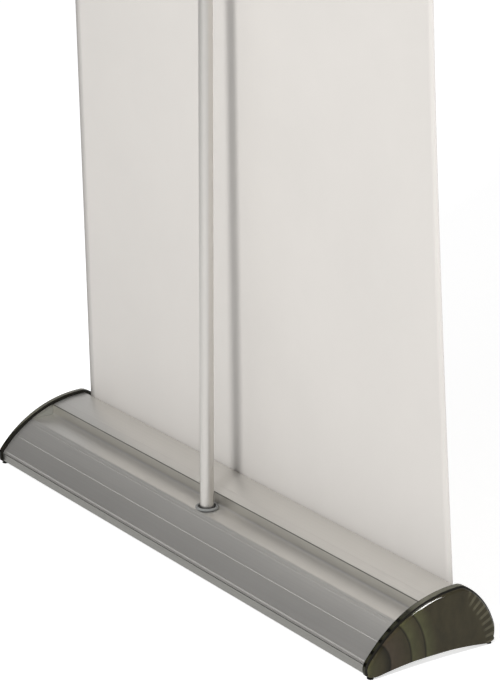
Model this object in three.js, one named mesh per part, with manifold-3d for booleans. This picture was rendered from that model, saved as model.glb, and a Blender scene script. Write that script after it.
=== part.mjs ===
// Roll-up banner stand, millimetres, +Z up.
// X runs along the base, -Y is the printed side of the banner and +Y is the side of the pole.
// The origin is on the floor under the middle of the base.
import * as THREE from "three";
import { mergeVertices } from "three/addons/utils/BufferGeometryUtils.js";
import Module from "manifold-3d";

const wasm = await Module();
wasm.setup();

// ---------------------------------------------------------------- driving dimensions
const GAP = 0.3; // between pieces that touch
const RUNNING = 0.3; // radial play of turning and plug-in pieces

const BASE_LENGTH = 896; // over both end caps
const BASE_DEPTH = 195; // rear tip to front tip
const RIDGE_Z = 84.4; // highest line of the end caps
const RIDGE_Y = -47;
const REAR_TIP_Z = 13;
const FRONT_TIP_Z = 9;
const REAR_RADIUS = 170;
const FRONT_RADIUS = 101;

const PAD_THICKNESS = 0.7;
const PAD_LENGTH = 9;
const PAD_WIDTH = 7;
const FOOT_INSET_REAR = 12.5; // rear tip to the line the base stands on
const FOOT_INSET_FRONT = 10.5;
const FOOT_RISE = 2.8; // how far each foot bulges past the chord between tip and standing line
const ARCH_RISE = 5; // hollow under the end caps between the feet

const CAP_WIDTH = 13.5; // skirt edge to outer face
const CAP_FACE = 2.5;
const CAP_OVERLAP = 3.5; // of the skirt over the profile
const CAP_BEVEL = 2;
const CAP_PEG_RADIUS = 2.5; // snap pegs inside the end caps
const REAR_PEG_Z = 27;
const REAR_PEG_INSET = 29; // below the cap's rear outline
const FRONT_PEG_Z = 44;
const FRONT_PEG_INSET = 20.7;

const SKIN_INSET = 5; // profile's skin below the end caps' outline
const SKIN = 1.8;
const PLATE_Z = 4.2; // underside of the bottom plate
const PLATE = 1.7;
const LIP_TOP_Z = 15.4; // top of the bottom plate's upright rear lip
const LIP_SEAM = 0.8;
const FLANGE = 7; // along the profile's underside, for the bottom plate's screws
const PLATE_SCREW_INNER = 130; // the two middle screws from the middle of the base
const PLATE_SCREW_END = 78; // the outer screws from the profile's ends

const TROUGH_STEP = 1.1374; // rear edge of the trough above its floor
const TROUGH_EDGE = 0.6; // width of that step
const TROUGH_CLEARANCE = 4.5; // collar to the trough's wall
const TROUGH_FILLET = 4;

const SLOT_WIDTH = 4.6;
const SLOT_LIP = 7; // depth of the turned-down slot edges
const RIB_HEIGHT = 0.6;
const RIB_WIDTH = 1.2;
const LOW_RIB = 2.5; // fine rib from the lower edge of the rear face
const MIDDLE_RIB = 2.8; // from the middle of the rear face
const EDGE_RIBS = [6.7, 3.1]; // from the trough's rear edge
const TOP_RIB = 11.6; // from the trough's wall

const PORT_RADIUS = 4; // screw ports of the profile
const PORT_HOLE = 1.7;
const PORT_SINK = 3.4; // centre of a port from the skin it grows on
const REAR_PORT_Z = 25.5;
const TOP_PORT_BACK = 5.8; // from the trough's wall
const WALL_PORT_DROP = 9; // below the trough's underside
const FRONT_PORT_BACK = 20.8; // from the profile's front skin

const END_PLATE = 2;
const SCREW_RADIUS = 1.4;
const SCREW_LENGTH = 10;
const SCREW_HEAD_RADIUS = 3.2;
const SCREW_HEAD = 2;

const BANNER_SETBACK = 1.2; // plane of the banner in front of the ridge
const BANNER_MARGIN = 3; // roller tube past each side edge of the banner
const BANNER_THICKNESS = 0.5;
const BANNER_CURL = 34; // how far one side edge bows to the rear at mid height
const BANNER_CURL_FROM = 60; // distance from the middle where the bow starts

const ROLLER_Z = 38;
const ROLLER_END_PLAY = 9; // roller plug to end plate
const TUBE_RADIUS = 15;
const TUBE_WALL = 1.3;
const WRAP_THICKNESS = 1.3;
const WRAP_SLACK = 0.4; // wraps to the plane of the banner
const PLUG_FLANGE = 3;
const PLUG_DEPTH = 24;
const SHAFT_RADIUS = 4;
const SHAFT_LENGTH = 330; // inside the roller
const PIN_LENGTH = 26;
const SHAFT_HEAD_RADIUS = 6.5;
const SHAFT_HEAD = 2;
const SPRING_RADIUS = 8;
const SPRING_WIRE = 0.9;
const SPRING_TURNS = 16;
const ANCHOR_LENGTH = 18;
const ANCHOR_SETBACK = 4; // shaft's tip past the middle of the anchor

const POLE_Y = 25.5; // pole's axis at the trough floor
const POLE_RADIUS = 9;
const POLE_WALL = 1;
const SOCKET_DEPTH = 32; // below the trough floor
const SECTION_LENGTH = 700;
const JOINER_LENGTH = 90;
const JOINER_WALL = 1.4;
const FOOT_PLUG = 2.5;
const FOOT_PLUG_DEPTH = 20; // inside the tube
const TOP_PLUG_DEPTH = 22;
const SOCKET_WALL = 2.3;
const COLLAR_WALL = 3.1;
const COLLAR_HEIGHT = 3.4;
const COLLAR_LIFT = 0.5; // keeps the leaning collar clear of the level trough floor
const COLLAR_BEVEL = 1.3;

const HOOK_THICKNESS = 6;
const HOOK_FINGER_WIDTH = 9;
const HOOK_PIN_RADIUS = 4;
const HOOK_RIVET_RADIUS = 6;
const HOOK_RIVET = 1.8;
const HOOK_CLEARANCE = 3.2; // hook's round end to the rail's rear face

const RAIL_OVERHANG = 1; // past each side edge of the banner
const RAIL_FRONT = 7; // in front of the banner
const RAIL_REAR = 9; // behind the banner
const RAIL_HEIGHT = 26;
const RAIL_WALL = 1.5;
const RAIL_SLOT_WIDTH = 3.4;
const RAIL_SLOT_DEPTH = 17;
const GROOVE_Z = 7; // underside of the rear groove above the rail's lower edge
const GROOVE_HEIGHT = 8.5;
const GROOVE_DEPTH = 4.5;
const FINGER_TO_LIP = 0.5; // hook finger below the groove's upper lip
const FINGER_ENTRY = 3.8; // hook finger inside the groove
const RAIL_CAP = 3;
const RAIL_PEG_LENGTH = 10; // tongue of a rail cap inside the rear groove

// ---------------------------------------------------------------- sizes that follow
const HALF_LENGTH = BASE_LENGTH / 2;
const SKIRT_X = HALF_LENGTH - CAP_WIDTH;
const PROFILE_X = SKIRT_X + CAP_OVERLAP;
const PLATE_X = PROFILE_X + GAP;
const HEAD_X = PLATE_X + END_PLATE + GAP;
const REAR_TIP_Y = BASE_DEPTH / 2;
const FRONT_TIP_Y = -BASE_DEPTH / 2;
const STAND_Z = PAD_THICKNESS + GAP;
const TUBE_LENGTH = 2 * (PLATE_X - ROLLER_END_PLAY - PLUG_FLANGE - GAP);
const BANNER_WIDTH = TUBE_LENGTH - 2 * BANNER_MARGIN;
const RAIL_LENGTH = BANNER_WIDTH + 2 * RAIL_OVERHANG;
const BANNER_Y = RIDGE_Y - BANNER_SETBACK;
const ROLLER_Y = BANNER_Y + TUBE_RADIUS + GAP + WRAP_THICKNESS + WRAP_SLACK;
const SOCKET_RADIUS = POLE_RADIUS + RUNNING + SOCKET_WALL;
const COLLAR_BORE = SOCKET_RADIUS + GAP;
const COLLAR_RADIUS = COLLAR_BORE + COLLAR_WALL;
const TROUGH_REAR_Y = POLE_Y + COLLAR_RADIUS;
const TROUGH_WALL_Y = POLE_Y - COLLAR_RADIUS - TROUGH_CLEARANCE;
const FLANGE_Y = TROUGH_WALL_Y + FLANGE;

// the pole's sections stand one on another, and the pole leans so that its hook meets the rail
const SECTION_NAMES = ["lower", "middle", "upper"];
const footTop = -SOCKET_DEPTH + FOOT_PLUG;
const sectionFrom = (i) => footTop + GAP + i * (SECTION_LENGTH + GAP);
const poleTop = sectionFrom(SECTION_NAMES.length) - GAP;
const hookLow = poleTop + GAP;
const hookTop = hookLow + HOOK_THICKNESS;
const hookMiddle = (hookLow + hookTop) / 2;
const hookStandoff = POLE_RADIUS + HOOK_CLEARANCE + RAIL_REAR;
const lean = Math.asin((POLE_Y - BANNER_Y - hookStandoff) / hookMiddle);

// ---------------------------------------------------------------- outline helpers
// the circle of a given radius through two points, with its centre below them
function circleThrough(a, b, radius) {
  const [dy, dz] = [b[0] - a[0], b[1] - a[1]];
  const chord = Math.hypot(dy, dz);
  const height = Math.sqrt(radius ** 2 - chord ** 2 / 4);
  const side = dy < 0 ? 1 : -1;
  return {
    y: (a[0] + b[0]) / 2 - (side * height * dz) / chord,
    z: (a[1] + b[1]) / 2 + (side * height * dy) / chord,
    radius,
  };
}

const rearCircle = circleThrough([REAR_TIP_Y, REAR_TIP_Z], [RIDGE_Y, RIDGE_Z], REAR_RADIUS);
const frontCircle = circleThrough([RIDGE_Y, RIDGE_Z], [FRONT_TIP_Y, FRONT_TIP_Z], FRONT_RADIUS);

// height of a circle's upper side at y, drawn in by inset
function zOn(circle, y, inset) {
  return circle.z + Math.sqrt((circle.radius - inset) ** 2 - (y - circle.y) ** 2);
}

// y where the rear or front circle, drawn in by inset, is at height z
function yOn(circle, z, inset) {
  const side = circle === rearCircle ? 1 : -1;
  return circle.y + side * Math.sqrt((circle.radius - inset) ** 2 - (z - circle.z) ** 2);
}

// the bottom plate's rear lip stands flush under the profile's lower edge
const rearEdgeZ = LIP_TOP_Z + LIP_SEAM;
const lipY = yOn(rearCircle, rearEdgeZ, SKIN_INSET);

// levels and lines of the base profile
const TROUGH_FLOOR_Z = zOn(rearCircle, TROUGH_REAR_Y, SKIN_INSET) - TROUGH_STEP;
const troughBottomZ = TROUGH_FLOOR_Z - SKIN;
const floorZ = PLATE_Z + PLATE + GAP; // underside of the roller bay
const innerFloorZ = floorZ + SKIN;
const innerSkin = SKIN_INSET + SKIN;
const frontInnerY = yOn(frontCircle, innerFloorZ, innerSkin);
const rearRibs = [
  lipY - LOW_RIB,
  (lipY + TROUGH_REAR_Y) / 2 + MIDDLE_RIB,
  ...EDGE_RIBS.map((from) => TROUGH_REAR_Y + from),
];
const topRibs = [TROUGH_WALL_Y - TOP_RIB];

// screw ports of the profile and snap pegs of the end caps, as y and z
const portInset = innerSkin + PORT_SINK;
const topPortY = TROUGH_WALL_Y - TOP_PORT_BACK;
const ports = [
  [yOn(rearCircle, REAR_PORT_Z, portInset), REAR_PORT_Z],
  [TROUGH_WALL_Y + PORT_SINK, troughBottomZ - WALL_PORT_DROP],
  [frontInnerY + FRONT_PORT_BACK, innerFloorZ + PORT_SINK],
  [topPortY, zOn(rearCircle, topPortY, portInset)],
];
const pegs = [
  [yOn(rearCircle, REAR_PEG_Z, REAR_PEG_INSET), REAR_PEG_Z],
  [yOn(frontCircle, FRONT_PEG_Z, FRONT_PEG_INSET), FRONT_PEG_Z],
];

// points along a circle between two values of y
function along(circle, inset, yFrom, yTo, steps) {
  const points = [];
  for (let i = 0; i <= steps; i++) {
    const y = yFrom + ((yTo - yFrom) * i) / steps;
    points.push([y, zOn(circle, y, inset)]);
  }
  return points;
}

// points down the front circle, drawn in by inset, from y on its upper side to the height zTo
function downFront(inset, yFrom, zTo, steps) {
  const radius = frontCircle.radius - inset;
  const from = Math.acos((yFrom - frontCircle.y) / radius);
  const to = Math.PI - Math.asin((zTo - frontCircle.z) / radius);
  const points = [];
  for (let i = 0; i <= steps; i++) {
    const angle = from + ((to - from) * i) / steps;
    points.push([
      frontCircle.y + radius * Math.cos(angle),
      frontCircle.z + radius * Math.sin(angle),
    ]);
  }
  return points;
}

// the rear circle's points with fine raised ribs at the given values of y
function alongWithRibs(circle, inset, yFrom, yTo, ribs, steps) {
  const points = along(circle, inset, yFrom, yTo, steps).filter(([y]) =>
    ribs.every((rib) => Math.abs(y - rib) > RIB_WIDTH),
  );
  for (const rib of ribs) {
    const half = RIB_WIDTH / 2;
    points.push([rib + half, zOn(circle, rib + half, inset)]);
    points.push([rib + half / 2, zOn(circle, rib + half / 2, inset - RIB_HEIGHT)]);
    points.push([rib - half / 2, zOn(circle, rib - half / 2, inset - RIB_HEIGHT)]);
    points.push([rib - half, zOn(circle, rib - half, inset)]);
  }
  return points.sort((a, b) => b[0] - a[0]);
}

// an arc from a to b that bulges to the right of the way from a to b, without its first point
function bulge(a, b, rise, steps) {
  const [dy, dz] = [b[0] - a[0], b[1] - a[1]];
  const chord = Math.hypot(dy, dz);
  const radius = (chord ** 2 / 4 + rise ** 2) / (2 * Math.abs(rise));
  const half = Math.asin(chord / 2 / radius);
  const points = [];
  for (let i = 1; i <= steps; i++) {
    const angle = -half + (2 * half * i) / steps;
    const t = (radius * Math.sin(angle)) / chord + 0.5;
    const out = (Math.sign(rise) * (radius * Math.cos(angle) - radius * Math.cos(half))) / chord;
    points.push([a[0] + t * dy + out * dz, a[1] + t * dz - out * dy]);
  }
  return points;
}

// ---------------------------------------------------------------- solid helpers
// an outline in y and z, extruded along X
function extrudeX(points, xFrom, xTo, bevel = 0) {
  const shape = new THREE.Shape(points.map(([y, z]) => new THREE.Vector2(y, z)));
  const geometry = new THREE.ExtrudeGeometry(shape, {
    depth: xTo - xFrom - 2 * bevel,
    bevelEnabled: bevel > 0,
    bevelThickness: bevel,
    bevelSize: bevel,
    bevelOffset: -bevel,
    bevelSegments: 3,
    curveSegments: 12,
  });
  const basis = new THREE.Matrix4().makeBasis(
    new THREE.Vector3(0, 1, 0),
    new THREE.Vector3(0, 0, 1),
    new THREE.Vector3(1, 0, 0),
  );
  geometry.applyMatrix4(basis);
  geometry.translate(xFrom + bevel, 0, 0);
  return geometry;
}

// a profile of radius and height turned about Z
function turn(profile, segments = 32) {
  const points = profile.map(([r, z]) => new THREE.Vector2(r, z));
  const geometry = new THREE.LatheGeometry(points, segments);
  geometry.rotateX(Math.PI / 2);
  return geometry;
}

// the same turned about X, from x = first height to last height
function turnX(profile, y, z, segments = 32) {
  const geometry = turn(profile, segments);
  geometry.rotateY(Math.PI / 2);
  geometry.translate(0, y, z);
  return geometry;
}

function rod(radius, from, to) {
  return [[0, from], [radius, from], [radius, to], [0, to]];
}

function ring(inner, outer, from, to) {
  return [[inner, from], [outer, from], [outer, to], [inner, to], [inner, from]];
}

function block(x, y, z, centre) {
  const geometry = new THREE.BoxGeometry(x, y, z);
  geometry.translate(...centre);
  return geometry;
}

function solid(geometry) {
  const bare = geometry.index ? geometry.toNonIndexed() : geometry.clone();
  bare.deleteAttribute("normal");
  bare.deleteAttribute("uv");
  const merged = mergeVertices(bare, 1e-4);
  const mesh = new wasm.Mesh({
    numProp: 3,
    vertProperties: new Float32Array(merged.attributes.position.array),
    triVerts: new Uint32Array(merged.index.array),
  });
  const made = new wasm.Manifold(mesh);
  return made.volume() < 0 ? new wasm.Manifold(flipped(mesh)) : made;
}

function flipped(mesh) {
  const triVerts = mesh.triVerts.slice();
  for (let i = 0; i < triVerts.length; i += 3) {
    [triVerts[i], triVerts[i + 1]] = [triVerts[i + 1], triVerts[i]];
  }
  return new wasm.Mesh({ numProp: 3, vertProperties: mesh.vertProperties, triVerts });
}

function toGeometry(manifold) {
  const mesh = manifold.getMesh();
  const geometry = new THREE.BufferGeometry();
  geometry.setAttribute("position", new THREE.BufferAttribute(mesh.vertProperties, mesh.numProp));
  geometry.setIndex(new THREE.BufferAttribute(mesh.triVerts, 1));
  return geometry;
}

function join(first, ...others) {
  return toGeometry(others.reduce((sum, g) => sum.add(solid(g)), solid(first)));
}

function cut(first, ...others) {
  return toGeometry(others.reduce((rest, g) => rest.subtract(solid(g)), solid(first)));
}

// ---------------------------------------------------------------- materials
function material(color, roughness, metalness) {
  return new THREE.MeshStandardMaterial({ color, roughness, metalness });
}

const finishes = {
  profile: () => material(0xb4b5b1, 0.38, 0.9),
  smoked: () => material(0x43402f, 0.2, 0),
  steel: () => material(0x9a9c9e, 0.4, 1),
  spring: () => material(0x55585a, 0.45, 1),
  rubber: () => material(0x1c1c1c, 0.9, 0),
  greyPlastic: () => material(0x8a8c8a, 0.5, 0),
  blackPlastic: () => material(0x1e1f20, 0.5, 0),
  pole: () => material(0xc9cac8, 0.3, 0.95),
  banner: () => material(0xd9d8d3, 0.7, 0),
};

const stand = new THREE.Group();

function add(name, geometry, finish, parent = stand) {
  const mesh = new THREE.Mesh(geometry, finishes[finish]());
  mesh.name = name;
  parent.add(mesh);
  return mesh;
}

// ---------------------------------------------------------------- base profile
const slotRearY = BANNER_Y + SLOT_WIDTH / 2;
const slotFrontY = BANNER_Y - SLOT_WIDTH / 2;
const wallFrontY = TROUGH_WALL_Y - SKIN;
const slotRearZ = zOn(rearCircle, slotRearY, SKIN_INSET);
const slotFrontZ = zOn(frontCircle, slotFrontY, SKIN_INSET);

function profileOutline() {
  const filletFrom = [TROUGH_WALL_Y + TROUGH_FILLET, TROUGH_FLOOR_Z];
  const filletTo = [TROUGH_WALL_Y, TROUGH_FLOOR_Z + TROUGH_FILLET];
  const underTroughY = yOn(rearCircle, troughBottomZ, innerSkin);
  return [
    ...alongWithRibs(rearCircle, SKIN_INSET, lipY, TROUGH_REAR_Y, rearRibs, 14),
    [TROUGH_REAR_Y - TROUGH_EDGE, TROUGH_FLOOR_Z],
    filletFrom,
    ...bulge(filletFrom, filletTo, TROUGH_FILLET * (Math.SQRT1_2 - 1), 4),
    ...alongWithRibs(rearCircle, SKIN_INSET, TROUGH_WALL_Y, slotRearY, topRibs, 10),
    [slotRearY, slotRearZ - SLOT_LIP],
    [slotRearY + SKIN, slotRearZ - SLOT_LIP],
    ...along(rearCircle, innerSkin, slotRearY + SKIN, wallFrontY, 8),
    [wallFrontY, innerFloorZ],
    [frontInnerY, innerFloorZ],
    ...downFront(innerSkin, slotFrontY - SKIN, innerFloorZ, 10).reverse().slice(1),
    [slotFrontY - SKIN, slotFrontZ - SLOT_LIP],
    [slotFrontY, slotFrontZ - SLOT_LIP],
    ...downFront(SKIN_INSET, slotFrontY, floorZ, 14),
    [FLANGE_Y, floorZ],
    [FLANGE_Y, innerFloorZ],
    [TROUGH_WALL_Y, innerFloorZ],
    [TROUGH_WALL_Y, troughBottomZ],
    [underTroughY, troughBottomZ],
    ...along(rearCircle, innerSkin, underTroughY, yOn(rearCircle, rearEdgeZ, innerSkin), 10).slice(1),
  ];
}

// pieces on the pole's leaning axis are made upright about Z and then placed by this
const poleAxis = new THREE.Matrix4()
  .makeTranslation(0, POLE_Y, TROUGH_FLOOR_Z)
  .multiply(new THREE.Matrix4().makeRotationX(lean));

function onPole(geometry) {
  return geometry.applyMatrix4(poleAxis);
}

function baseProfile() {
  const walls = ports.map(([y, z]) =>
    turnX(rod(PORT_RADIUS, -PROFILE_X, PROFILE_X), y, z, 12),
  );
  const holes = ports.map(([y, z]) =>
    turnX(rod(PORT_HOLE, -PROFILE_X - 1, PROFILE_X + 1), y, z, 8),
  );
  const socketHole = onPole(turn(rod(SOCKET_RADIUS + GAP, -SKIN * 3, SKIN * 2), 32));
  const body = join(extrudeX(profileOutline(), -PROFILE_X, PROFILE_X), ...walls);
  return cut(body, ...holes, socketHole);
}

add("base_profile", baseProfile(), "profile");

// ---------------------------------------------------------------- bottom plate
const plateScrewOuter = PROFILE_X - PLATE_SCREW_END;
const plateScrewsX = [
  -plateScrewOuter,
  -PLATE_SCREW_INNER,
  PLATE_SCREW_INNER,
  plateScrewOuter,
];
const plateScrewY = FLANGE_Y - SCREW_RADIUS - 1.1;

function bottomPlate() {
  const outline = [
    [lipY, PLATE_Z],
    [lipY, LIP_TOP_Z],
    [lipY - SKIN, LIP_TOP_Z],
    [lipY - SKIN, PLATE_Z + PLATE],
    [TROUGH_WALL_Y, PLATE_Z + PLATE],
    [TROUGH_WALL_Y, PLATE_Z],
  ];
  const holes = plateScrewsX.map((x) => {
    const hole = turn(rod(SCREW_RADIUS + GAP, PLATE_Z - 1, PLATE_Z + PLATE + 1), 12);
    hole.translate(x, plateScrewY, 0);
    return hole;
  });
  return cut(extrudeX(outline, -PROFILE_X, PROFILE_X), ...holes);
}

add("bottom_plate", bottomPlate(), "profile");

// round-headed screws that hold the bottom plate from below, short of the flange
plateScrewsX.forEach((x, i) => {
  const top = PLATE_Z + PLATE;
  const low = PLATE_Z - GAP - 1.4;
  const screw = turn(
    [[0, low], [SCREW_HEAD_RADIUS * 0.7, low], [SCREW_HEAD_RADIUS, low + 0.6],
      [SCREW_HEAD_RADIUS, PLATE_Z - GAP], [SCREW_RADIUS, PLATE_Z - GAP], [SCREW_RADIUS, top],
      [0, top]],
    12,
  );
  screw.translate(x, plateScrewY, 0);
  add(`plate_screw_${i + 1}`, screw, "steel");
});

// ---------------------------------------------------------------- end plates and their screws
const shaftHole = SHAFT_RADIUS + RUNNING;

function endPlate(side) {
  const inset = SKIN_INSET + GAP;
  const outline = [
    ...along(rearCircle, inset, lipY - GAP, slotRearY, 16),
    ...downFront(inset, slotFrontY, floorZ, 12),
    [yOn(frontCircle, floorZ, inset) + 1, PLATE_Z],
    [lipY - GAP, PLATE_Z],
  ];
  const from = side > 0 ? PLATE_X : -PLATE_X - END_PLATE;
  const hole = (radius, [y, z]) => turnX(rod(radius, from - 1, from + END_PLATE + 1), y, z, 16);
  return cut(
    extrudeX(outline, from, from + END_PLATE),
    ...ports.map((port) => hole(SCREW_RADIUS + GAP, port)),
    ...pegs.map((peg) => hole(CAP_PEG_RADIUS + GAP, peg)),
    hole(shaftHole, [ROLLER_Y, ROLLER_Z]),
  );
}

function endScrew(side, [y, z]) {
  const tip = HEAD_X - SCREW_LENGTH;
  const profile = [
    [0, tip], [SCREW_RADIUS, tip], [SCREW_RADIUS, HEAD_X], [SCREW_HEAD_RADIUS, HEAD_X],
    [SCREW_HEAD_RADIUS, HEAD_X + SCREW_HEAD * 0.5],
    [SCREW_HEAD_RADIUS * 0.7, HEAD_X + SCREW_HEAD], [0, HEAD_X + SCREW_HEAD],
  ];
  const screw = turnX(profile, 0, 0, 12);
  if (side < 0) screw.rotateZ(Math.PI);
  screw.translate(0, y, z);
  return screw;
}

// ---------------------------------------------------------------- end caps and foot pads
const rearFootY = REAR_TIP_Y - FOOT_INSET_REAR;
const frontFootY = FRONT_TIP_Y + FOOT_INSET_FRONT;

function capOutline() {
  const rearTip = [REAR_TIP_Y, REAR_TIP_Z];
  const frontTip = [FRONT_TIP_Y, FRONT_TIP_Z];
  const rearFoot = [rearFootY, STAND_Z];
  const frontFoot = [frontFootY, STAND_Z];
  return [
    ...along(rearCircle, 0, REAR_TIP_Y, RIDGE_Y, 20),
    ...along(frontCircle, 0, RIDGE_Y, FRONT_TIP_Y, 16).slice(1),
    ...bulge(frontTip, frontFoot, FOOT_RISE, 5),
    ...bulge(frontFoot, rearFoot, -ARCH_RISE, 16),
    ...bulge(rearFoot, rearTip, FOOT_RISE, 5).slice(0, -1),
  ];
}

function endCap(side) {
  const inset = SKIN_INSET - RIB_HEIGHT - GAP;
  const low = PLATE_Z - GAP;
  const pocket = [
    ...along(rearCircle, inset, lipY + GAP, slotRearY - GAP, 16),
    ...downFront(inset, slotFrontY + GAP, floorZ, 12),
    [yOn(frontCircle, floorZ, inset), low],
    [lipY + GAP, low],
  ];
  const deep = HALF_LENGTH - CAP_FACE;
  const [from, to] = side > 0 ? [SKIRT_X, HALF_LENGTH] : [-HALF_LENGTH, -SKIRT_X];
  const [near, far] = side > 0 ? [SKIRT_X - 5, deep] : [-deep, -SKIRT_X + 5];
  const inner = cut(extrudeX(capOutline(), from, to, CAP_BEVEL), extrudeX(pocket, near, far));
  const pegTip = PLATE_X - GAP;
  const [pegFrom, pegTo] = side > 0 ? [pegTip, deep + 1] : [-deep - 1, -pegTip];
  return join(
    inner,
    ...pegs.map(([y, z]) => turnX(rod(CAP_PEG_RADIUS, pegFrom, pegTo), y, z, 16)),
  );
}

function footPad(x, y) {
  const radius = PAD_WIDTH / 2;
  const straight = PAD_LENGTH / 2 - radius;
  const shape = new THREE.Shape();
  shape.absarc(straight, 0, radius, -Math.PI / 2, Math.PI / 2, false);
  shape.absarc(-straight, 0, radius, Math.PI / 2, (3 * Math.PI) / 2, false);
  shape.closePath();
  const pad = new THREE.ExtrudeGeometry(shape, {
    depth: PAD_THICKNESS,
    bevelEnabled: false,
    curveSegments: 8,
  });
  pad.translate(x, y, 0);
  return pad;
}

for (const [side, hand] of [[1, "left"], [-1, "right"]]) {
  add(`end_plate_${hand}`, endPlate(side), "steel");
  ports.forEach((port, i) => add(`end_screw_${hand}_${i + 1}`, endScrew(side, port), "steel"));
  add(`end_cap_${hand}`, endCap(side), "smoked");
  const padX = side * (HALF_LENGTH - CAP_WIDTH / 2);
  add(`foot_pad_rear_${hand}`, footPad(padX, rearFootY), "rubber");
  add(`foot_pad_front_${hand}`, footPad(padX, frontFootY), "rubber");
}

// ---------------------------------------------------------------- roller
const tubeEnd = TUBE_LENGTH / 2;
const tubeBore = TUBE_RADIUS - TUBE_WALL;
const spigot = tubeBore - GAP;

function onRoller(profile, segments = 32) {
  return turnX(profile, ROLLER_Y, ROLLER_Z, segments);
}

add("roller_tube", onRoller(ring(tubeBore, TUBE_RADIUS, -tubeEnd, tubeEnd)), "profile");
const wrapFrom = TUBE_RADIUS + GAP;
add(
  "wound_banner",
  onRoller(ring(wrapFrom, wrapFrom + WRAP_THICKNESS, -BANNER_WIDTH / 2, BANNER_WIDTH / 2)),
  "banner",
);

// flanged plugs that close the tube and turn on the pin and the spring shaft
function rollerPlug(side) {
  const face = tubeEnd + GAP;
  const inside = tubeEnd - PLUG_DEPTH;
  const profile = [
    [shaftHole, inside], [spigot, inside], [spigot, face], [TUBE_RADIUS, face],
    [TUBE_RADIUS, face + PLUG_FLANGE], [shaftHole, face + PLUG_FLANGE], [shaftHole, inside],
  ];
  const plug = onRoller(profile);
  if (side < 0) plug.scale(-1, 1, 1);
  return plug;
}

add("roller_plug_left", toGeometry(solid(rollerPlug(1))), "blackPlastic");
add("roller_plug_right", toGeometry(solid(rollerPlug(-1))), "blackPlastic");

// a headed pin on the left and a long headed shaft on the right, both fixed in the end plates
const shaftTip = tubeEnd - SHAFT_LENGTH;

function headedShaft(tip) {
  return [
    [0, tip], [SHAFT_RADIUS, tip], [SHAFT_RADIUS, HEAD_X], [SHAFT_HEAD_RADIUS, HEAD_X],
    [SHAFT_HEAD_RADIUS, HEAD_X + SHAFT_HEAD], [0, HEAD_X + SHAFT_HEAD],
  ];
}

const springShaft = onRoller(headedShaft(shaftTip), 20);
springShaft.scale(-1, 1, 1);
add("roller_pin", onRoller(headedShaft(tubeEnd + PLUG_FLANGE - PIN_LENGTH), 20), "steel");
add("spring_shaft", toGeometry(solid(springShaft)), "steel");

// the anchor turns with the tube on the shaft's inner end and holds the far end of the spring
const anchorFrom = -shaftTip - ANCHOR_LENGTH / 2 - ANCHOR_SETBACK;
const anchor = onRoller(ring(shaftHole, spigot, anchorFrom, anchorFrom + ANCHOR_LENGTH), 24);
add("spring_anchor", anchor, "blackPlastic");

function torsionSpring() {
  const from = -(tubeEnd - PLUG_DEPTH) + SPRING_WIRE + GAP;
  const to = anchorFrom - SPRING_WIRE - GAP;
  const perTurn = 9;
  const steps = SPRING_TURNS * perTurn;
  const points = [];
  for (let i = 0; i <= steps; i++) {
    const angle = (2 * Math.PI * i) / perTurn;
    points.push(
      new THREE.Vector3(
        from + ((to - from) * i) / steps,
        ROLLER_Y + SPRING_RADIUS * Math.cos(angle),
        ROLLER_Z + SPRING_RADIUS * Math.sin(angle),
      ),
    );
  }
  const section = new THREE.Shape();
  section.absarc(0, 0, SPRING_WIRE, 0, 2 * Math.PI, false);
  return new THREE.ExtrudeGeometry(section, {
    steps,
    extrudePath: new THREE.CatmullRomCurve3(points),
    curveSegments: 3,
    bevelEnabled: false,
  });
}

add("torsion_spring", torsionSpring(), "spring");

// ---------------------------------------------------------------- pole socket and pole
const socketBore = POLE_RADIUS + RUNNING;
const collarTop = GAP + COLLAR_HEIGHT;
const socketLow = -SOCKET_DEPTH - SOCKET_WALL;

const socket = onPole(
  turn([
    [0, socketLow], [SOCKET_RADIUS, socketLow], [SOCKET_RADIUS, collarTop - 0.6],
    [socketBore + 0.5, collarTop - 0.6], [socketBore, collarTop - 1.4],
    [socketBore, -SOCKET_DEPTH - GAP], [0, -SOCKET_DEPTH - GAP],
  ], 32),
);
add("pole_socket", socket, "blackPlastic");

const collarLow = GAP + COLLAR_LIFT;
add(
  "pole_collar",
  onPole(turn([
    [COLLAR_BORE, collarLow], [COLLAR_RADIUS, collarLow],
    [COLLAR_RADIUS, collarTop - COLLAR_BEVEL], [COLLAR_RADIUS - COLLAR_BEVEL, collarTop],
    [COLLAR_BORE + 0.4, collarTop], [COLLAR_BORE, collarTop - 0.4], [COLLAR_BORE, collarLow],
  ], 32)),
  "greyPlastic",
);

const poleBore = POLE_RADIUS - POLE_WALL;
const joinerRadius = poleBore - GAP;

SECTION_NAMES.forEach((name, i) => {
  const from = sectionFrom(i);
  const tube = turn(ring(poleBore, POLE_RADIUS, from, from + SECTION_LENGTH), 32);
  add(`pole_${name}`, onPole(tube), "pole");
  if (i === 0) return;
  const joiner = turn(
    ring(joinerRadius - JOINER_WALL, joinerRadius, from - JOINER_LENGTH / 2, from + JOINER_LENGTH / 2),
    24,
  );
  add(`pole_joiner_${i}`, onPole(joiner), "steel");
});

add(
  "pole_foot_plug",
  onPole(turn([
    [0, -SOCKET_DEPTH], [POLE_RADIUS - 1, -SOCKET_DEPTH], [POLE_RADIUS, -SOCKET_DEPTH + 1],
    [POLE_RADIUS, footTop], [joinerRadius, footTop], [joinerRadius, footTop + FOOT_PLUG_DEPTH],
    [0, footTop + FOOT_PLUG_DEPTH],
  ], 24)),
  "blackPlastic",
);

// ---------------------------------------------------------------- swivel hook on top of the pole
const rivetLow = hookTop + GAP;

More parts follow.
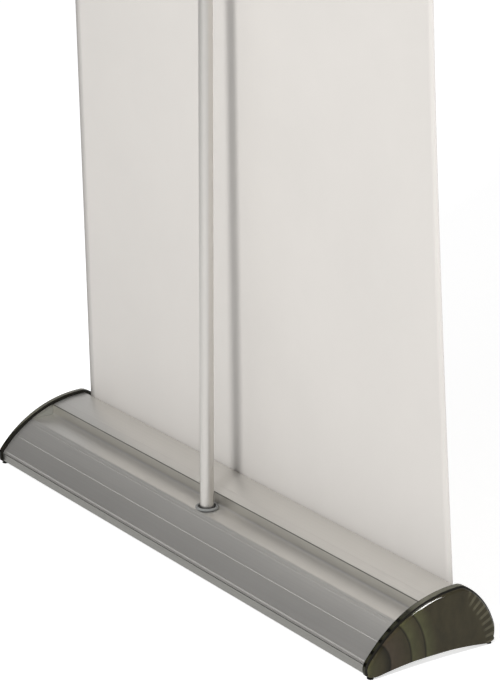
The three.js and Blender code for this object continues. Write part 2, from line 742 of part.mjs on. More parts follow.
add(
  "pole_top_plug",
  onPole(turn([
    [0, poleTop - TOP_PLUG_DEPTH], [joinerRadius, poleTop - TOP_PLUG_DEPTH], [joinerRadius, poleTop],
    [HOOK_PIN_RADIUS, poleTop], [HOOK_PIN_RADIUS, rivetLow], [HOOK_RIVET_RADIUS, rivetLow],
    [HOOK_RIVET_RADIUS - 0.8, rivetLow + HOOK_RIVET], [0, rivetLow + HOOK_RIVET],
  ], 24)),
  "blackPlastic",
);

// where the leaning axis stands at a distance up the pole
const axisY = (up) => POLE_Y - up * Math.sin(lean);
const axisZ = (up) => TROUGH_FLOOR_Z + up * Math.cos(lean);

const railRearY = BANNER_Y + RAIL_REAR;
const fingerTipY = railRearY - FINGER_ENTRY;
const fingerReach = (axisY(hookMiddle) - fingerTipY) / Math.cos(lean);

function poleHook() {
  const half = HOOK_FINGER_WIDTH / 2;
  const finger = new THREE.Shape();
  finger.moveTo(-half, 0);
  finger.absarc(0, -fingerReach + half, half, Math.PI, 2 * Math.PI, false);
  finger.lineTo(half, 0);
  finger.closePath();
  const arm = new THREE.ExtrudeGeometry(finger, {
    depth: HOOK_THICKNESS,
    bevelEnabled: false,
    curveSegments: 6,
  });
  arm.translate(0, 0, hookLow);
  const bore = turn(rod(HOOK_PIN_RADIUS + RUNNING, hookLow - 1, hookTop + 1), 24);
  return onPole(cut(join(turn(rod(POLE_RADIUS, hookLow, hookTop), 32), arm), bore));
}

add("pole_hook", poleHook(), "blackPlastic");

// ---------------------------------------------------------------- top rail
const fingerTopZ = axisZ(hookTop) - fingerReach * Math.sin(lean);
const railZ = fingerTopZ + FINGER_TO_LIP - GROOVE_Z - GROOVE_HEIGHT;
const railTop = railZ + RAIL_HEIGHT;
const railFrontY = BANNER_Y - RAIL_FRONT;
const railEnd = RAIL_LENGTH / 2;
const slotHalf = RAIL_SLOT_WIDTH / 2;

function railOutline(hollow) {
  const crown = [[railRearY, railTop - 6], [railRearY - 3, railTop - 1.4]];
  const crownEnd = [railFrontY + 3, railTop - 1.4];
  const outer = [
    ...crown,
    ...bulge(crown[1], crownEnd, 1.4, 4),
    [railFrontY, railTop - 6],
    [railFrontY, railZ],
  ];
  const bottomSlot = [
    [BANNER_Y - slotHalf, railZ],
    [BANNER_Y - slotHalf, railZ + RAIL_SLOT_DEPTH],
    [BANNER_Y + slotHalf, railZ + RAIL_SLOT_DEPTH],
    [BANNER_Y + slotHalf, railZ],
  ];
  const groove = [
    [railRearY, railZ + GROOVE_Z],
    [railRearY - GROOVE_DEPTH, railZ + GROOVE_Z],
    [railRearY - GROOVE_DEPTH, railZ + GROOVE_Z + GROOVE_HEIGHT],
    [railRearY, railZ + GROOVE_Z + GROOVE_HEIGHT],
  ];
  const rearFoot = [[railRearY, railZ]];
  return hollow ? [...outer, ...bottomSlot, ...rearFoot, ...groove] : [...outer, ...rearFoot];
}

const chamberLow = railZ + RAIL_SLOT_DEPTH + RAIL_WALL;
const chamberTop = railTop - 2 * RAIL_WALL;
const chamber = block(
  RAIL_LENGTH + 2,
  RAIL_FRONT + RAIL_REAR - 4 * RAIL_WALL,
  chamberTop - chamberLow,
  [0, (railRearY + railFrontY) / 2, (chamberLow + chamberTop) / 2],
);
add("top_rail", cut(extrudeX(railOutline(true), -railEnd, railEnd), chamber), "profile");

// the strip that wedges the banner's top edge in the rail
const stripFrom = BANNER_Y - slotHalf + GAP;
const stripTo = BANNER_Y - BANNER_THICKNESS / 2 - GAP;
const stripLow = railZ + 1.5;
const stripTop = railZ + RAIL_SLOT_DEPTH - GAP;
add(
  "clamp_strip",
  block(
    BANNER_WIDTH - 4,
    stripTo - stripFrom,
    stripTop - stripLow,
    [0, (stripFrom + stripTo) / 2, (stripLow + stripTop) / 2],
  ),
  "greyPlastic",
);

function railCap(side) {
  const face = railEnd + GAP;
  const [from, to] = side > 0 ? [face, face + RAIL_CAP] : [-face - RAIL_CAP, -face];
  const peg = block(
    RAIL_PEG_LENGTH + RAIL_CAP,
    GROOVE_DEPTH - 2 * GAP,
    GROOVE_HEIGHT - 2 * GAP,
    [
      side * (face + (RAIL_CAP - RAIL_PEG_LENGTH) / 2 - 0.5),
      railRearY - GROOVE_DEPTH / 2,
      railZ + GROOVE_Z + GROOVE_HEIGHT / 2,
    ],
  );
  return join(extrudeX(railOutline(false), from, to), peg);
}

add("rail_cap_left", railCap(1), "blackPlastic");
add("rail_cap_right", railCap(-1), "blackPlastic");

// ---------------------------------------------------------------- banner
const bannerLow = ROLLER_Z;
const bannerTop = railZ + RAIL_SLOT_DEPTH - GAP;

// the right-hand side bows to the rear between the slot and the rail
function curl(x, z) {
  const out = Math.max(0, (-x - BANNER_CURL_FROM) / (BANNER_WIDTH / 2 - BANNER_CURL_FROM));
  const up = (z - slotRearZ - 1) / (railZ - slotRearZ - 1);
  const rise = up > 0 && up < 1 ? Math.sin(Math.PI * up) : 0;
  return BANNER_CURL * out ** 2 * rise;
}

function bannerSheet() {
  const across = 14;
  const heights = [bannerLow, slotRearZ + 1];
  const rows = 12;
  for (let i = 1; i < rows; i++) {
    heights.push(slotRearZ + 1 + ((railZ - slotRearZ - 1) * i) / rows);
  }
  heights.push(railZ, bannerTop);
  const positions = [];
  const triangles = [];
  const perFace = heights.length * (across + 1);
  for (const side of [1, -1]) {
    for (const z of heights) {
      for (let j = 0; j <= across; j++) {
        const x = BANNER_WIDTH * (j / across - 0.5);
        positions.push(x, BANNER_Y + curl(x, z) + (side * BANNER_THICKNESS) / 2, z);
      }
    }
  }
  const at = (face, i, j) => face * perFace + i * (across + 1) + j;
  const quad = (a, b, c, d) => triangles.push(a, b, c, a, c, d);
  const last = heights.length - 1;
  for (let i = 0; i < last; i++) {
    for (let j = 0; j < across; j++) {
      quad(at(0, i, j), at(0, i + 1, j), at(0, i + 1, j + 1), at(0, i, j + 1));
      quad(at(1, i, j), at(1, i, j + 1), at(1, i + 1, j + 1), at(1, i + 1, j));
    }
    quad(at(0, i, 0), at(1, i, 0), at(1, i + 1, 0), at(0, i + 1, 0));
    quad(at(0, i, across), at(0, i + 1, across), at(1, i + 1, across), at(1, i, across));
  }
  for (let j = 0; j < across; j++) {
    quad(at(0, 0, j), at(0, 0, j + 1), at(1, 0, j + 1), at(1, 0, j));
    quad(at(0, last, j), at(1, last, j), at(1, last, j + 1), at(0, last, j + 1));
  }
  const geometry = new THREE.BufferGeometry();
  geometry.setAttribute("position", new THREE.Float32BufferAttribute(positions, 3));
  geometry.setIndex(triangles);
  return toGeometry(solid(geometry));
}

add("banner", bannerSheet(), "banner");

export default stand;
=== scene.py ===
import math

import bmesh
import bpy
from mathutils import Matrix, Vector


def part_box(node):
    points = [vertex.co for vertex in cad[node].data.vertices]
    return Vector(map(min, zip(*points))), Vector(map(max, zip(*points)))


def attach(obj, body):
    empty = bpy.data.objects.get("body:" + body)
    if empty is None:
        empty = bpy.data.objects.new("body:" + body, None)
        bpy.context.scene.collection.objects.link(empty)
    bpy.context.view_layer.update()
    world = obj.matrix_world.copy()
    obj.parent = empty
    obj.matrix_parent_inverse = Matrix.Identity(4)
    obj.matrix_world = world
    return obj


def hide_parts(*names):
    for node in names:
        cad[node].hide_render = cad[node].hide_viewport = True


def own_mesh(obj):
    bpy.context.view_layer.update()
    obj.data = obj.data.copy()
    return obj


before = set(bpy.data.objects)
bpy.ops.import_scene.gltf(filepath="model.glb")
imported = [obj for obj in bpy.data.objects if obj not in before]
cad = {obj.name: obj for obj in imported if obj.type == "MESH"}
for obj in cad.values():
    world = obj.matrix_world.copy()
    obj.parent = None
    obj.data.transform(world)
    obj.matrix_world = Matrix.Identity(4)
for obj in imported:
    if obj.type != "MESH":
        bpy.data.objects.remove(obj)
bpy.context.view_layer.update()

# ---------------------------------------------------------------- camera
# The stand is seen from behind and from the side of its right-hand end, a little above the base,
# so that most of the pole and the banner run out of the top of the view.


def new_object(name, data):
    """An object with this data, linked to the scene."""
    made = bpy.data.objects.new(name, data)
    bpy.context.scene.collection.objects.link(made)
    return made


CAMERA_AT = (-2.7353, 1.7284, 1.3188)
camera_data = bpy.data.cameras.new("camera")
camera_data.sensor_width = 36.0
camera_data.lens = 141.47
camera_data.clip_end = 60.0
camera = new_object("camera", camera_data)
camera_right = Vector((-0.5493, -0.8354, -0.0194)).normalized()
camera_back = Vector((-0.7986, 0.5180, 0.3064))
camera_back = (camera_back - camera_right * camera_back.dot(camera_right)).normalized()
camera_up = camera_back.cross(camera_right)
turn_of_camera = Matrix((camera_right, camera_up, camera_back)).transposed().to_4x4()
camera.matrix_world = Matrix.Translation(CAMERA_AT) @ turn_of_camera
bpy.context.scene.camera = camera

# ---------------------------------------------------------------- floor and studio light
# A plain white floor runs on into a white room. One large soft lamp stands behind the stand on the
# pole's side and throws the pole's shadow on the banner; the far side of the room is darker.
bpy.context.scene.view_settings.view_transform = "Standard"
FLOOR_SIZE = 30.0
FLOOR_GLOW = 0.20
FLOOR_GLOW_SEEN = 0.62
ROOM_LIGHT = 0.66
DARK_LIGHT = 0.05
DARK_SIDE = (0.80, 0.56, 0.08)
DARK_FROM, DARK_FULL = 0.35, 0.98
LAMP_FROM = Vector((-0.41, 0.71, 0.574)).normalized()
LAMP_AIM = Vector((0, 0, 0.35))
LAMP_DISTANCE = 4.0
LAMP_SIZE = 0.62
LAMP_POWER = 108.0
STRIP_SIZE = (0.7, 2.0)
STRIP_AT = Vector((-1.35, -0.40, 2.45))
STRIP_AIM = Vector((-0.45, 0, 0.06))
STRIP_POWER = 260.0


def set_inputs(tree, node, values):
    """Sets each input to its number or colour, or links it to the output given for it."""
    for key, value in values.items():
        if isinstance(value, bpy.types.NodeSocket):
            tree.links.new(value, node.inputs[key])
        else:
            node.inputs[key].default_value = value


def add_node(tree, kind, values=None, **settings):
    """A new node with these settings and inputs."""
    node = tree.nodes.new(kind)
    for setting, value in settings.items():
        setattr(node, setting, value)
    set_inputs(tree, node, values or {})
    return node


bpy.ops.mesh.primitive_plane_add(size=FLOOR_SIZE)
floor = bpy.context.object
floor.name = "floor"
floor_material = bpy.data.materials.new("floor_white")
floor_material.use_nodes = True
tree = floor_material.node_tree
ray = add_node(tree, "ShaderNodeLightPath").outputs["Is Camera Ray"]
glow = {"Value": ray, "To Min": FLOOR_GLOW, "To Max": FLOOR_GLOW_SEEN}
set_inputs(tree, tree.nodes["Principled BSDF"], {
    "Base Color": (0.82, 0.82, 0.82, 1),
    "Roughness": 0.9,
    "Specular IOR Level": 0.1,
    "Emission Color": (1, 1, 1, 1),
    "Emission Strength": add_node(tree, "ShaderNodeMapRange", glow).outputs["Result"],
})
floor.data.materials.append(floor_material)

world = bpy.data.worlds.new("white_room")
bpy.context.scene.world = world
world.use_nodes = True
room = world.node_tree
room.nodes.clear()
way = add_node(room, "ShaderNodeTexCoord").outputs["Generated"]
to_dark = {0: way, 1: Vector(DARK_SIDE).normalized()}
to_dark = add_node(room, "ShaderNodeVectorMath", to_dark, operation="DOT_PRODUCT")
light = add_node(room, "ShaderNodeMapRange", {
    "Value": to_dark.outputs["Value"],
    "From Min": DARK_FROM, "From Max": DARK_FULL, "To Min": ROOM_LIGHT, "To Max": DARK_LIGHT,
}, interpolation_type="SMOOTHSTEP")
room_lit = add_node(room, "ShaderNodeBackground", {"Strength": light.outputs["Result"]})
room_seen = add_node(room, "ShaderNodeBackground", {"Color": (1, 1, 1, 1), "Strength": 1.0})
room_mix = add_node(room, "ShaderNodeMixShader", {
    "Fac": add_node(room, "ShaderNodeLightPath").outputs["Is Camera Ray"],
    1: room_lit.outputs["Background"],
    2: room_seen.outputs["Background"],
})
add_node(room, "ShaderNodeOutputWorld", {"Surface": room_mix.outputs["Shader"]})


def area_lamp(name, shape, size, power):
    data = bpy.data.lights.new(name, "AREA")
    data.shape, data.size, data.energy = shape, size, power
    return new_object(name, data)


lamp = area_lamp("soft_lamp", "DISK", LAMP_SIZE, LAMP_POWER)
lamp.location = LAMP_AIM + LAMP_FROM * LAMP_DISTANCE
lamp.rotation_euler = (-LAMP_FROM).to_track_quat("-Z", "Y").to_euler()

# a long lamp overhead that only the polished end caps see: the bright line along their edge
strip = area_lamp("strip_lamp", "RECTANGLE", STRIP_SIZE[0], STRIP_POWER)
strip.data.size_y = STRIP_SIZE[1]
strip.location = STRIP_AT
strip.rotation_euler = (STRIP_AIM - strip.location).to_track_quat("-Z", "Y").to_euler()
strip.visible_diffuse = False
polished = bpy.data.collections.new("polished")
strip.light_linking.receiver_collection = polished
# the main lamp's own mirror image shows in the end caps only, not as a glare on the metal
lamp.visible_glossy = False
glint = new_object("glint_lamp", lamp.data)
glint.location, glint.rotation_euler = lamp.location, lamp.rotation_euler
glint.visible_diffuse = False
glint.light_linking.receiver_collection = polished

# ---------------------------------------------------------------- base profile
# The body of the base is one aluminium extrusion, anodised silver: a curved back, a trough for the
# pole, a flat-topped hump and a rounded front, with a slot along the ridge for the banner.
# It is pressed through a die, which leaves fine raised ribs and lines along its whole length.
MM = 0.001
REAR_TIP = (97.5, 13.0)
RIDGE = (-47.0, 84.4)
FRONT_TIP = (-97.5, 9.0)
REAR_RADIUS = 170.0
FRONT_RADIUS = 101.0
SKIN_INSET = 5.0
SKIN = 1.8
HALF_PROFILE = 438.0
LIP_Z = 16.2
FLOOR_Z = 6.2
TROUGH_BACK_Y = 40.5
TROUGH_WALL_Y = 6.0
TROUGH_FLOOR_Z = 56.8
SLOT = (-45.9, -50.5)
SLOT_LIP = 7.0
RIB_HALF = 0.6
RIB_HEIGHT = 0.6
REAR_RIBS = (86.38, 67.49, 47.2, 43.6)
TOP_RIBS = (-5.6,)
TOP_RIB = 0.12
UNDERCUT = 0.7
UNDERCUT_DROPS = (1.9, 1.6, 1.0, 0.8)
EDGE_BACK = 0.9
FLOOR_LIP_Y = 13.0
PER_CM = 100.0
WHITE, BLACK = (1, 1, 1), (0, 0, 0)


def circle_through(a, b, radius):
    dy, dz = b[0] - a[0], b[1] - a[1]
    chord = math.hypot(dy, dz)
    height = math.sqrt(radius**2 - chord**2 / 4)
    return (
        (a[0] + b[0]) / 2 - height * dz / chord,
        (a[1] + b[1]) / 2 + height * dy / chord,
        radius,
    )


rear_circle = circle_through(REAR_TIP, RIDGE, REAR_RADIUS)
front_circle = circle_through(RIDGE, FRONT_TIP, FRONT_RADIUS)


def height_on(circle, y, inset):
    return circle[1] + math.sqrt((circle[2] - inset) ** 2 - (y - circle[0]) ** 2)


def reach_on(circle, z, inset, side):
    return circle[0] + side * math.sqrt((circle[2] - inset) ** 2 - (z - circle[1]) ** 2)


def ribbed(circle, inset, y_from, y_to, ribs=(), step=2.5):
    """Points along the circle's top from y_from down to y_to, lifted over each rib."""
    count = max(2, round(abs(y_from - y_to) / step))
    stations = [y_from + (y_to - y_from) * i / count for i in range(count + 1)]
    stations = [y for y in stations if all(abs(y - rib) > 1.1 * RIB_HALF for rib in ribs)]
    for rib in ribs:
        stations += [rib + RIB_HALF * k for k in (-1, -0.75, -0.45, 0, 0.45, 0.75, 1)]
    stations.sort(reverse=y_from > y_to)
    points = []
    for y in stations:
        lift = 0.0
        for rib in ribs:
            off = abs(y - rib) / RIB_HALF
            if off < 1:
                lift = (TOP_RIB if rib in TOP_RIBS else RIB_HEIGHT) * math.sqrt(1 - off**2)
        points.append((y, height_on(circle, y, inset - lift)))
    return points


def down_front(inset, y_from, z_to, steps=26):
    """Points down the front circle from a line near the ridge to the height z_to."""
    radius = front_circle[2] - inset
    first = math.acos((y_from - front_circle[0]) / radius)
    last = math.pi - math.asin((z_to - front_circle[1]) / radius)
    angles = [first + (last - first) * i / steps for i in range(steps + 1)]
    return [
        (front_circle[0] + radius * math.cos(a), front_circle[1] + radius * math.sin(a))
        for a in angles
    ]


def curve_past(a, corner, b, steps):
    """Points of a short curve from a to b that bends round the corner."""
    shares = [i / steps for i in range(steps + 1)]
    return [tuple(a * (1 - t) ** 2 + corner * (2 * t * (1 - t)) + b * t**2) for t in shares]


def rounded(before, corner, after, size, steps=4):
    """The corner as a short curve that starts and ends at the given distance from it."""
    c = Vector(corner)
    a = c + (Vector(before) - c).normalized() * size
    b = c + (Vector(after) - c).normalized() * size
    return curve_past(a, c, b, steps)


def profile_outline():
    inner = SKIN_INSET + SKIN
    lip_y = reach_on(rear_circle, LIP_Z, SKIN_INSET, 1)
    edge_z = height_on(rear_circle, TROUGH_BACK_Y, SKIN_INSET)
    wall_top = (TROUGH_WALL_Y, height_on(rear_circle, TROUGH_WALL_Y, SKIN_INSET))
    slot_front_z = down_front(SKIN_INSET, SLOT[1], FLOOR_Z)[0][1]
    slot_z = [height_on(rear_circle, SLOT[0], SKIN_INSET), slot_front_z]
    under_floor = TROUGH_FLOOR_Z - SKIN
    under_y = reach_on(rear_circle, under_floor, inner, 1)
    rear = ribbed(rear_circle, SKIN_INSET, lip_y, TROUGH_BACK_Y + 0.5, REAR_RIBS)
    top = ribbed(rear_circle, SKIN_INSET, TROUGH_WALL_Y - EDGE_BACK, SLOT[0] + EDGE_BACK, TOP_RIBS)
    front = down_front(SKIN_INSET, SLOT[1] - EDGE_BACK, FLOOR_Z)
    points = list(rear)
    points += rounded(rear[-1], (TROUGH_BACK_Y, edge_z), (TROUGH_BACK_Y - 0.4, TROUGH_FLOOR_Z), 0.4)
    points += [(TROUGH_BACK_Y - 0.6, TROUGH_FLOOR_Z)]
    points += rounded(
        (TROUGH_BACK_Y, TROUGH_FLOOR_Z), (TROUGH_WALL_Y, TROUGH_FLOOR_Z), wall_top, 4.0, 10
    )
    groove_y = TROUGH_WALL_Y - UNDERCUT
    for y, drop in zip((TROUGH_WALL_Y, groove_y, groove_y, TROUGH_WALL_Y), UNDERCUT_DROPS):
        points.append((y, wall_top[1] - drop))
    points += rounded((TROUGH_WALL_Y, TROUGH_FLOOR_Z), wall_top, top[0], 0.45, 4)
    points += top
    points += rounded(top[-1], (SLOT[0], slot_z[0]), (SLOT[0], TROUGH_FLOOR_Z), 0.8)
    points += [(SLOT[0], slot_z[0] - SLOT_LIP), (SLOT[0] + SKIN, slot_z[0] - SLOT_LIP)]
    points += ribbed(rear_circle, inner, SLOT[0] + SKIN, TROUGH_WALL_Y - SKIN, step=6)
    points += [(TROUGH_WALL_Y - SKIN, FLOOR_Z + SKIN)]
    points += down_front(inner, SLOT[1] - SKIN, FLOOR_Z + SKIN, 14)[::-1]
    points += [(SLOT[1] - SKIN, slot_z[1] - SLOT_LIP), (SLOT[1], slot_z[1] - SLOT_LIP)]
    points += rounded((SLOT[1], TROUGH_FLOOR_Z), (SLOT[1], slot_z[1]), front[0], 0.8)
    points += front
    points += [(FLOOR_LIP_Y, FLOOR_Z), (FLOOR_LIP_Y, FLOOR_Z + SKIN)]
    points += [(TROUGH_WALL_Y, FLOOR_Z + SKIN), (TROUGH_WALL_Y, under_floor)]
    points += [(under_y, under_floor)]
    inner_lip_y = reach_on(rear_circle, LIP_Z, inner, 1)
    points += ribbed(rear_circle, inner, under_y, inner_lip_y, step=6)[1:]
    return points


def outline_object(name, points, x):
    """One flat face across the base, from an outline of y and z in millimetres."""
    kept = []
    for point in points:
        if not kept or math.dist(point, kept[-1]) > 0.02:
            kept.append(point)
    mesh = bpy.data.meshes.new(name)
    corners = [(x * MM, y * MM, z * MM) for y, z in kept]
    mesh.from_pydata(corners, [], [list(range(len(corners)))])
    return new_object(name, mesh)


def new_tree(name, inputs):
    """An empty Geometry Nodes tree with a geometry in and out and the named inputs."""
    tree = bpy.data.node_groups.new(name, "GeometryNodeTree")
    tree.is_modifier = True
    tree.interface.new_socket("Geometry", in_out="INPUT", socket_type="NodeSocketGeometry")
    for label, kind, value in inputs:
        socket = tree.interface.new_socket(label, in_out="INPUT", socket_type=kind)
        if value is not None:
            socket.default_value = value
    tree.interface.new_socket("Geometry", in_out="OUTPUT", socket_type="NodeSocketGeometry")
    return tree


def end_of_tree(tree, result, given):
    """Realizes the instances and gives the result its material."""
    real = add_node(tree, "GeometryNodeRealizeInstances", {"Geometry": result})
    coat = add_node(tree, "GeometryNodeSetMaterial", {
        "Geometry": real.outputs["Geometry"], "Material": given.outputs["Material"],
    })
    add_node(tree, "NodeGroupOutput", {"Geometry": coat.outputs["Geometry"]})


def run_tree(piece, tree, values):
    """Puts the tree on the piece, sets its inputs, and keeps the result as a plain mesh."""
    modifier = piece.modifiers.new(tree.name, "NODES")
    modifier.node_group = tree
    for item in tree.interface.items_tree:
        if item.in_out == "INPUT" and item.name in values:
            modifier[item.identifier] = values[item.name]
    keep_result(piece)


def keep_result(piece):
    """The piece's mesh as its modifiers leave it, with the modifiers gone."""
    bpy.context.view_layer.update()
    seen = piece.evaluated_get(bpy.context.evaluated_depsgraph_get())
    made = bpy.data.meshes.new_from_object(seen)
    made.name = piece.name
    piece.modifiers.clear()
    piece.data = made


def clean(piece, smooth_below=32.0, outward=True):
    """Merges doubles, turns the faces outwards and smooths every edge flatter than the angle."""
    shape = bmesh.new()
    shape.from_mesh(piece.data)
    bmesh.ops.remove_doubles(shape, verts=shape.verts, dist=2e-6)
    if outward:
        bmesh.ops.recalc_face_normals(shape, faces=shape.faces)
    shape.to_mesh(piece.data)
    shape.free()
    piece.data.shade_smooth()
    piece.data.set_sharp_from_angle(angle=math.radians(smooth_below))


# the tree draws one outline out along the base and closes both ends
pressing = new_tree(
    "pressed_length",
    [("Length", "NodeSocketFloat", 1.0), ("Material", "NodeSocketMaterial", None)],
)
given = pressing.nodes.new("NodeGroupInput")
drawn = add_node(pressing, "GeometryNodeExtrudeMesh", {
    "Mesh": given.outputs["Geometry"], "Offset Scale": given.outputs["Length"],
    "Offset": (1, 0, 0), "Individual": False,
}, mode="FACES")
back_end = add_node(pressing, "GeometryNodeFlipFaces", {"Mesh": given.outputs["Geometry"]})
closed = add_node(pressing, "GeometryNodeJoinGeometry", {"Geometry": drawn.outputs["Mesh"]})
set_inputs(pressing, closed, {"Geometry": back_end.outputs["Mesh"]})
welded = add_node(pressing, "GeometryNodeMergeByDistance", {
    "Geometry": closed.outputs["Geometry"], "Distance": 1e-6,
})
end_of_tree(pressing, welded.outputs["Geometry"], given)


def math_node(tree, operation, first, second=0.0):
    values = {0: first, 1: second}
    return add_node(tree, "ShaderNodeMath", values, operation=operation).outputs["Value"]


def ramp_of(tree, value, stops):
    """The colour at the value, by stops of place and colour."""
    node = add_node(tree, "ShaderNodeValToRGB", {"Fac": value})
    while len(node.color_ramp.elements) < len(stops):
        node.color_ramp.elements.new(0.5)
    for element, (place, color) in zip(node.color_ramp.elements, stops):
        element.position = place
        element.color = (*color, 1)
    return node.outputs["Color"]


def mixed(tree, factor, first, second, kind="MIX"):
    first, second = ((*c, 1) if isinstance(c, tuple) else c for c in (first, second))
    values = {0: factor, 6: first, 7: second}
    return add_node(tree, "ShaderNodeMix", values, data_type="RGBA", blend_type=kind).outputs[2]


# fine grain: a noise stretched by Spacing, as a mask for colour and roughness and as a height
FINE_SHARE = 0.65
grain = bpy.data.node_groups.new("fine_grain", "ShaderNodeTree")
grain.interface.new_socket("Spacing", in_out="INPUT", socket_type="NodeSocketVector")
grain.interface.new_socket("Mask", in_out="OUTPUT", socket_type="NodeSocketFloat")
grain.interface.new_socket("Height", in_out="OUTPUT", socket_type="NodeSocketFloat")
spacing = grain.nodes.new("NodeGroupInput").outputs["Spacing"]
place = add_node(grain, "ShaderNodeTexCoord").outputs["Object"]
stretched = add_node(grain, "ShaderNodeVectorMath", {0: place, 1: spacing}, operation="MULTIPLY")
noise = add_node(grain, "ShaderNodeTexNoise", {
    "Vector": stretched.outputs["Vector"], "Scale": 1.0, "Detail": 4.0, "Roughness": 0.62,
}).outputs["Fac"]
cloud = add_node(grain, "ShaderNodeTexNoise", {"Vector": place, "Scale": 9.0, "Detail": 3.0})
cloud_part = math_node(grain, "MULTIPLY", cloud.outputs["Fac"], 1 - FINE_SHARE)
spread = add_node(grain, "ShaderNodeMapRange", {"Value": noise, "From Min": 0.3, "From Max": 0.7})
fine_part = math_node(grain, "MULTIPLY", spread.outputs["Result"], FINE_SHARE)
mask = math_node(grain, "ADD", fine_part, cloud_part)
add_node(grain, "NodeGroupOutput", {"Mask": mask, "Height": noise})


def finish_of(name, dark, light, roughness, spacing, bump, metallic=0.0):
    """A material whose colour and roughness follow the grain between two values each."""
    material = bpy.data.materials.new(name)
    material.use_nodes = True
    tree = material.node_tree
    pattern = add_node(tree, "ShaderNodeGroup", {"Spacing": spacing}, node_tree=grain)
    mask = pattern.outputs["Mask"]
    tint = {0: mask, 6: (*dark, 1), 7: (*light, 1)}
    tint = add_node(tree, "ShaderNodeMix", tint, data_type="RGBA", name="tint")
    sheen = {"Value": mask, "To Min": roughness[0], "To Max": roughness[1]}
    relief = {"Height": pattern.outputs["Height"], "Strength": bump[0], "Distance": bump[1]}
    relief = add_node(tree, "ShaderNodeBump", relief, name="relief")
    set_inputs(tree, tree.nodes["Principled BSDF"], {
        "Metallic": metallic,
        "Base Color": tint.outputs[2],
        "Roughness": add_node(tree, "ShaderNodeMapRange", sheen).outputs["Result"],
        "Normal": relief.outputs["Normal"],
    })
    return material


anodised = finish_of(
    "anodised_profile",
    (0.715, 0.698, 0.668), (0.80, 0.782, 0.747), (0.32, 0.44),
    spacing=(1.2, 1500, 1500), bump=(0.25, 0.00002), metallic=0.82,
)

# painted shade: the trough's wall is painted a little darker, with a dark painted shadow line in
# the groove under its top edge
WALL_SHADE_TONE = (1.0, 0.99, 0.95)
GROOVE_SHADE_TONE = (0.3, 0.29, 0.26)
WALL_PAINTED_SHADES = ((0.0, WALL_SHADE_TONE), (0.19, WALL_SHADE_TONE), (0.23, GROOVE_SHADE_TONE), (0.32, GROOVE_SHADE_TONE), (0.36, WHITE))
SHADES_BELOW_EDGE = 4.0
skin = anodised.node_tree
skin_place = add_node(skin, "ShaderNodeTexCoord").outputs["Object"]
skin_parts = add_node(skin, "ShaderNodeSeparateXYZ", {"Vector": skin_place}).outputs
shades_from = height_on(rear_circle, TROUGH_WALL_Y, SKIN_INSET) - SHADES_BELOW_EDGE
from_wall = math_node(skin, "SUBTRACT", skin_parts["Y"], (TROUGH_WALL_Y - UNDERCUT / 2) * MM)
off_wall = math_node(skin, "MULTIPLY", math_node(skin, "ABSOLUTE", from_wall), PER_CM)
up_wall = math_node(skin, "SUBTRACT", skin_parts["Z"], shades_from * MM)
painted_wall_shade = ramp_of(skin, math_node(skin, "MULTIPLY", up_wall, PER_CM), WALL_PAINTED_SHADES)
on_wall = ramp_of(skin, off_wall, [(0.06, WHITE), (0.09, BLACK)])
shade_on_wall = mixed(skin, on_wall, WHITE, painted_wall_shade)
skin_with_shade = mixed(skin, 1.0, skin.nodes["tint"].outputs[2], shade_on_wall, "MULTIPLY")
set_inputs(skin, skin.nodes["Principled BSDF"], {"Base Color": skin_with_shade})

profile = outline_object("profile", profile_outline(), -HALF_PROFILE)
run_tree(profile, pressing, {"Length": 2 * HALF_PROFILE * MM, "Material": anodised})

# the pole's socket goes through a round hole in the floor of the trough
POLE_Y = 25.5
LEAN = math.asin(52.5 / 2074.7)  # 52.5 mm towards the banner over 2074.7 mm of the pole
POLE_FOOT = (0, POLE_Y * MM, TROUGH_FLOOR_Z * MM)
POLE_AXIS = Matrix.Translation(POLE_FOOT) @ Matrix.Rotation(LEAN, 4, "X")
SOCKET_HOLE = 11.9


def mesh_piece(name, shape):
    mesh = bpy.data.meshes.new(name)
    shape.to_mesh(mesh)
    shape.free()
    return new_object(name, mesh)


def band(shape, low, high):
    """Joins two rings of corners by four-sided faces."""
    for i in range(len(low)):
        j = (i + 1) % len(low)
        shape.faces.new((low[i], low[j], high[j], high[i]))


def turned(name, section, placed, segments=96):
    """A solid turned from a closed section of radius and height, in millimetres."""
    shape = bmesh.new()
    rings = []
    for radius, height in section:
        ring = []
        for i in range(segments):
            a = 2 * math.pi * i / segments
            point = Vector((radius * math.cos(a), radius * math.sin(a), height)) * MM
            ring.append(shape.verts.new(placed @ point))
        rings.append(ring)
    for low, high in zip(rings, rings[1:] + rings[:1]):
        band(shape, low, high)
    bmesh.ops.remove_doubles(shape, verts=shape.verts, dist=1e-7)
    bmesh.ops.dissolve_degenerate(shape, edges=shape.edges, dist=1e-7)
    bmesh.ops.recalc_face_normals(shape, faces=shape.faces)
    return mesh_piece(name, shape)


def cut_away(piece, cutter, how="DIFFERENCE"):
    """Cuts the cutter out of the piece, or joins it on, and takes the cutter away."""
    step = piece.modifiers.new("cut", "BOOLEAN")
    step.operation = how
    step.solver = "EXACT"
    step.object = cutter
    keep_result(piece)
    bpy.data.objects.remove(cutter)


bore = turned("bore", [(0, -6), (SOCKET_HOLE, -6), (SOCKET_HOLE, 4), (0, 4)], POLE_AXIS)
cut_away(profile, bore)
clean(profile)
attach(profile, "base")
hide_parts("base_profile")

# ---------------------------------------------------------------- bottom plate
# A thin aluminium strip closes the back half of the base from below. Its rear edge is bent up into
# a lip that stands flush under the profile, and four screws hold its front edge.
PLATE_LOW = 4.2
PLATE_THICK = 1.7
LIP_TOP = 15.4

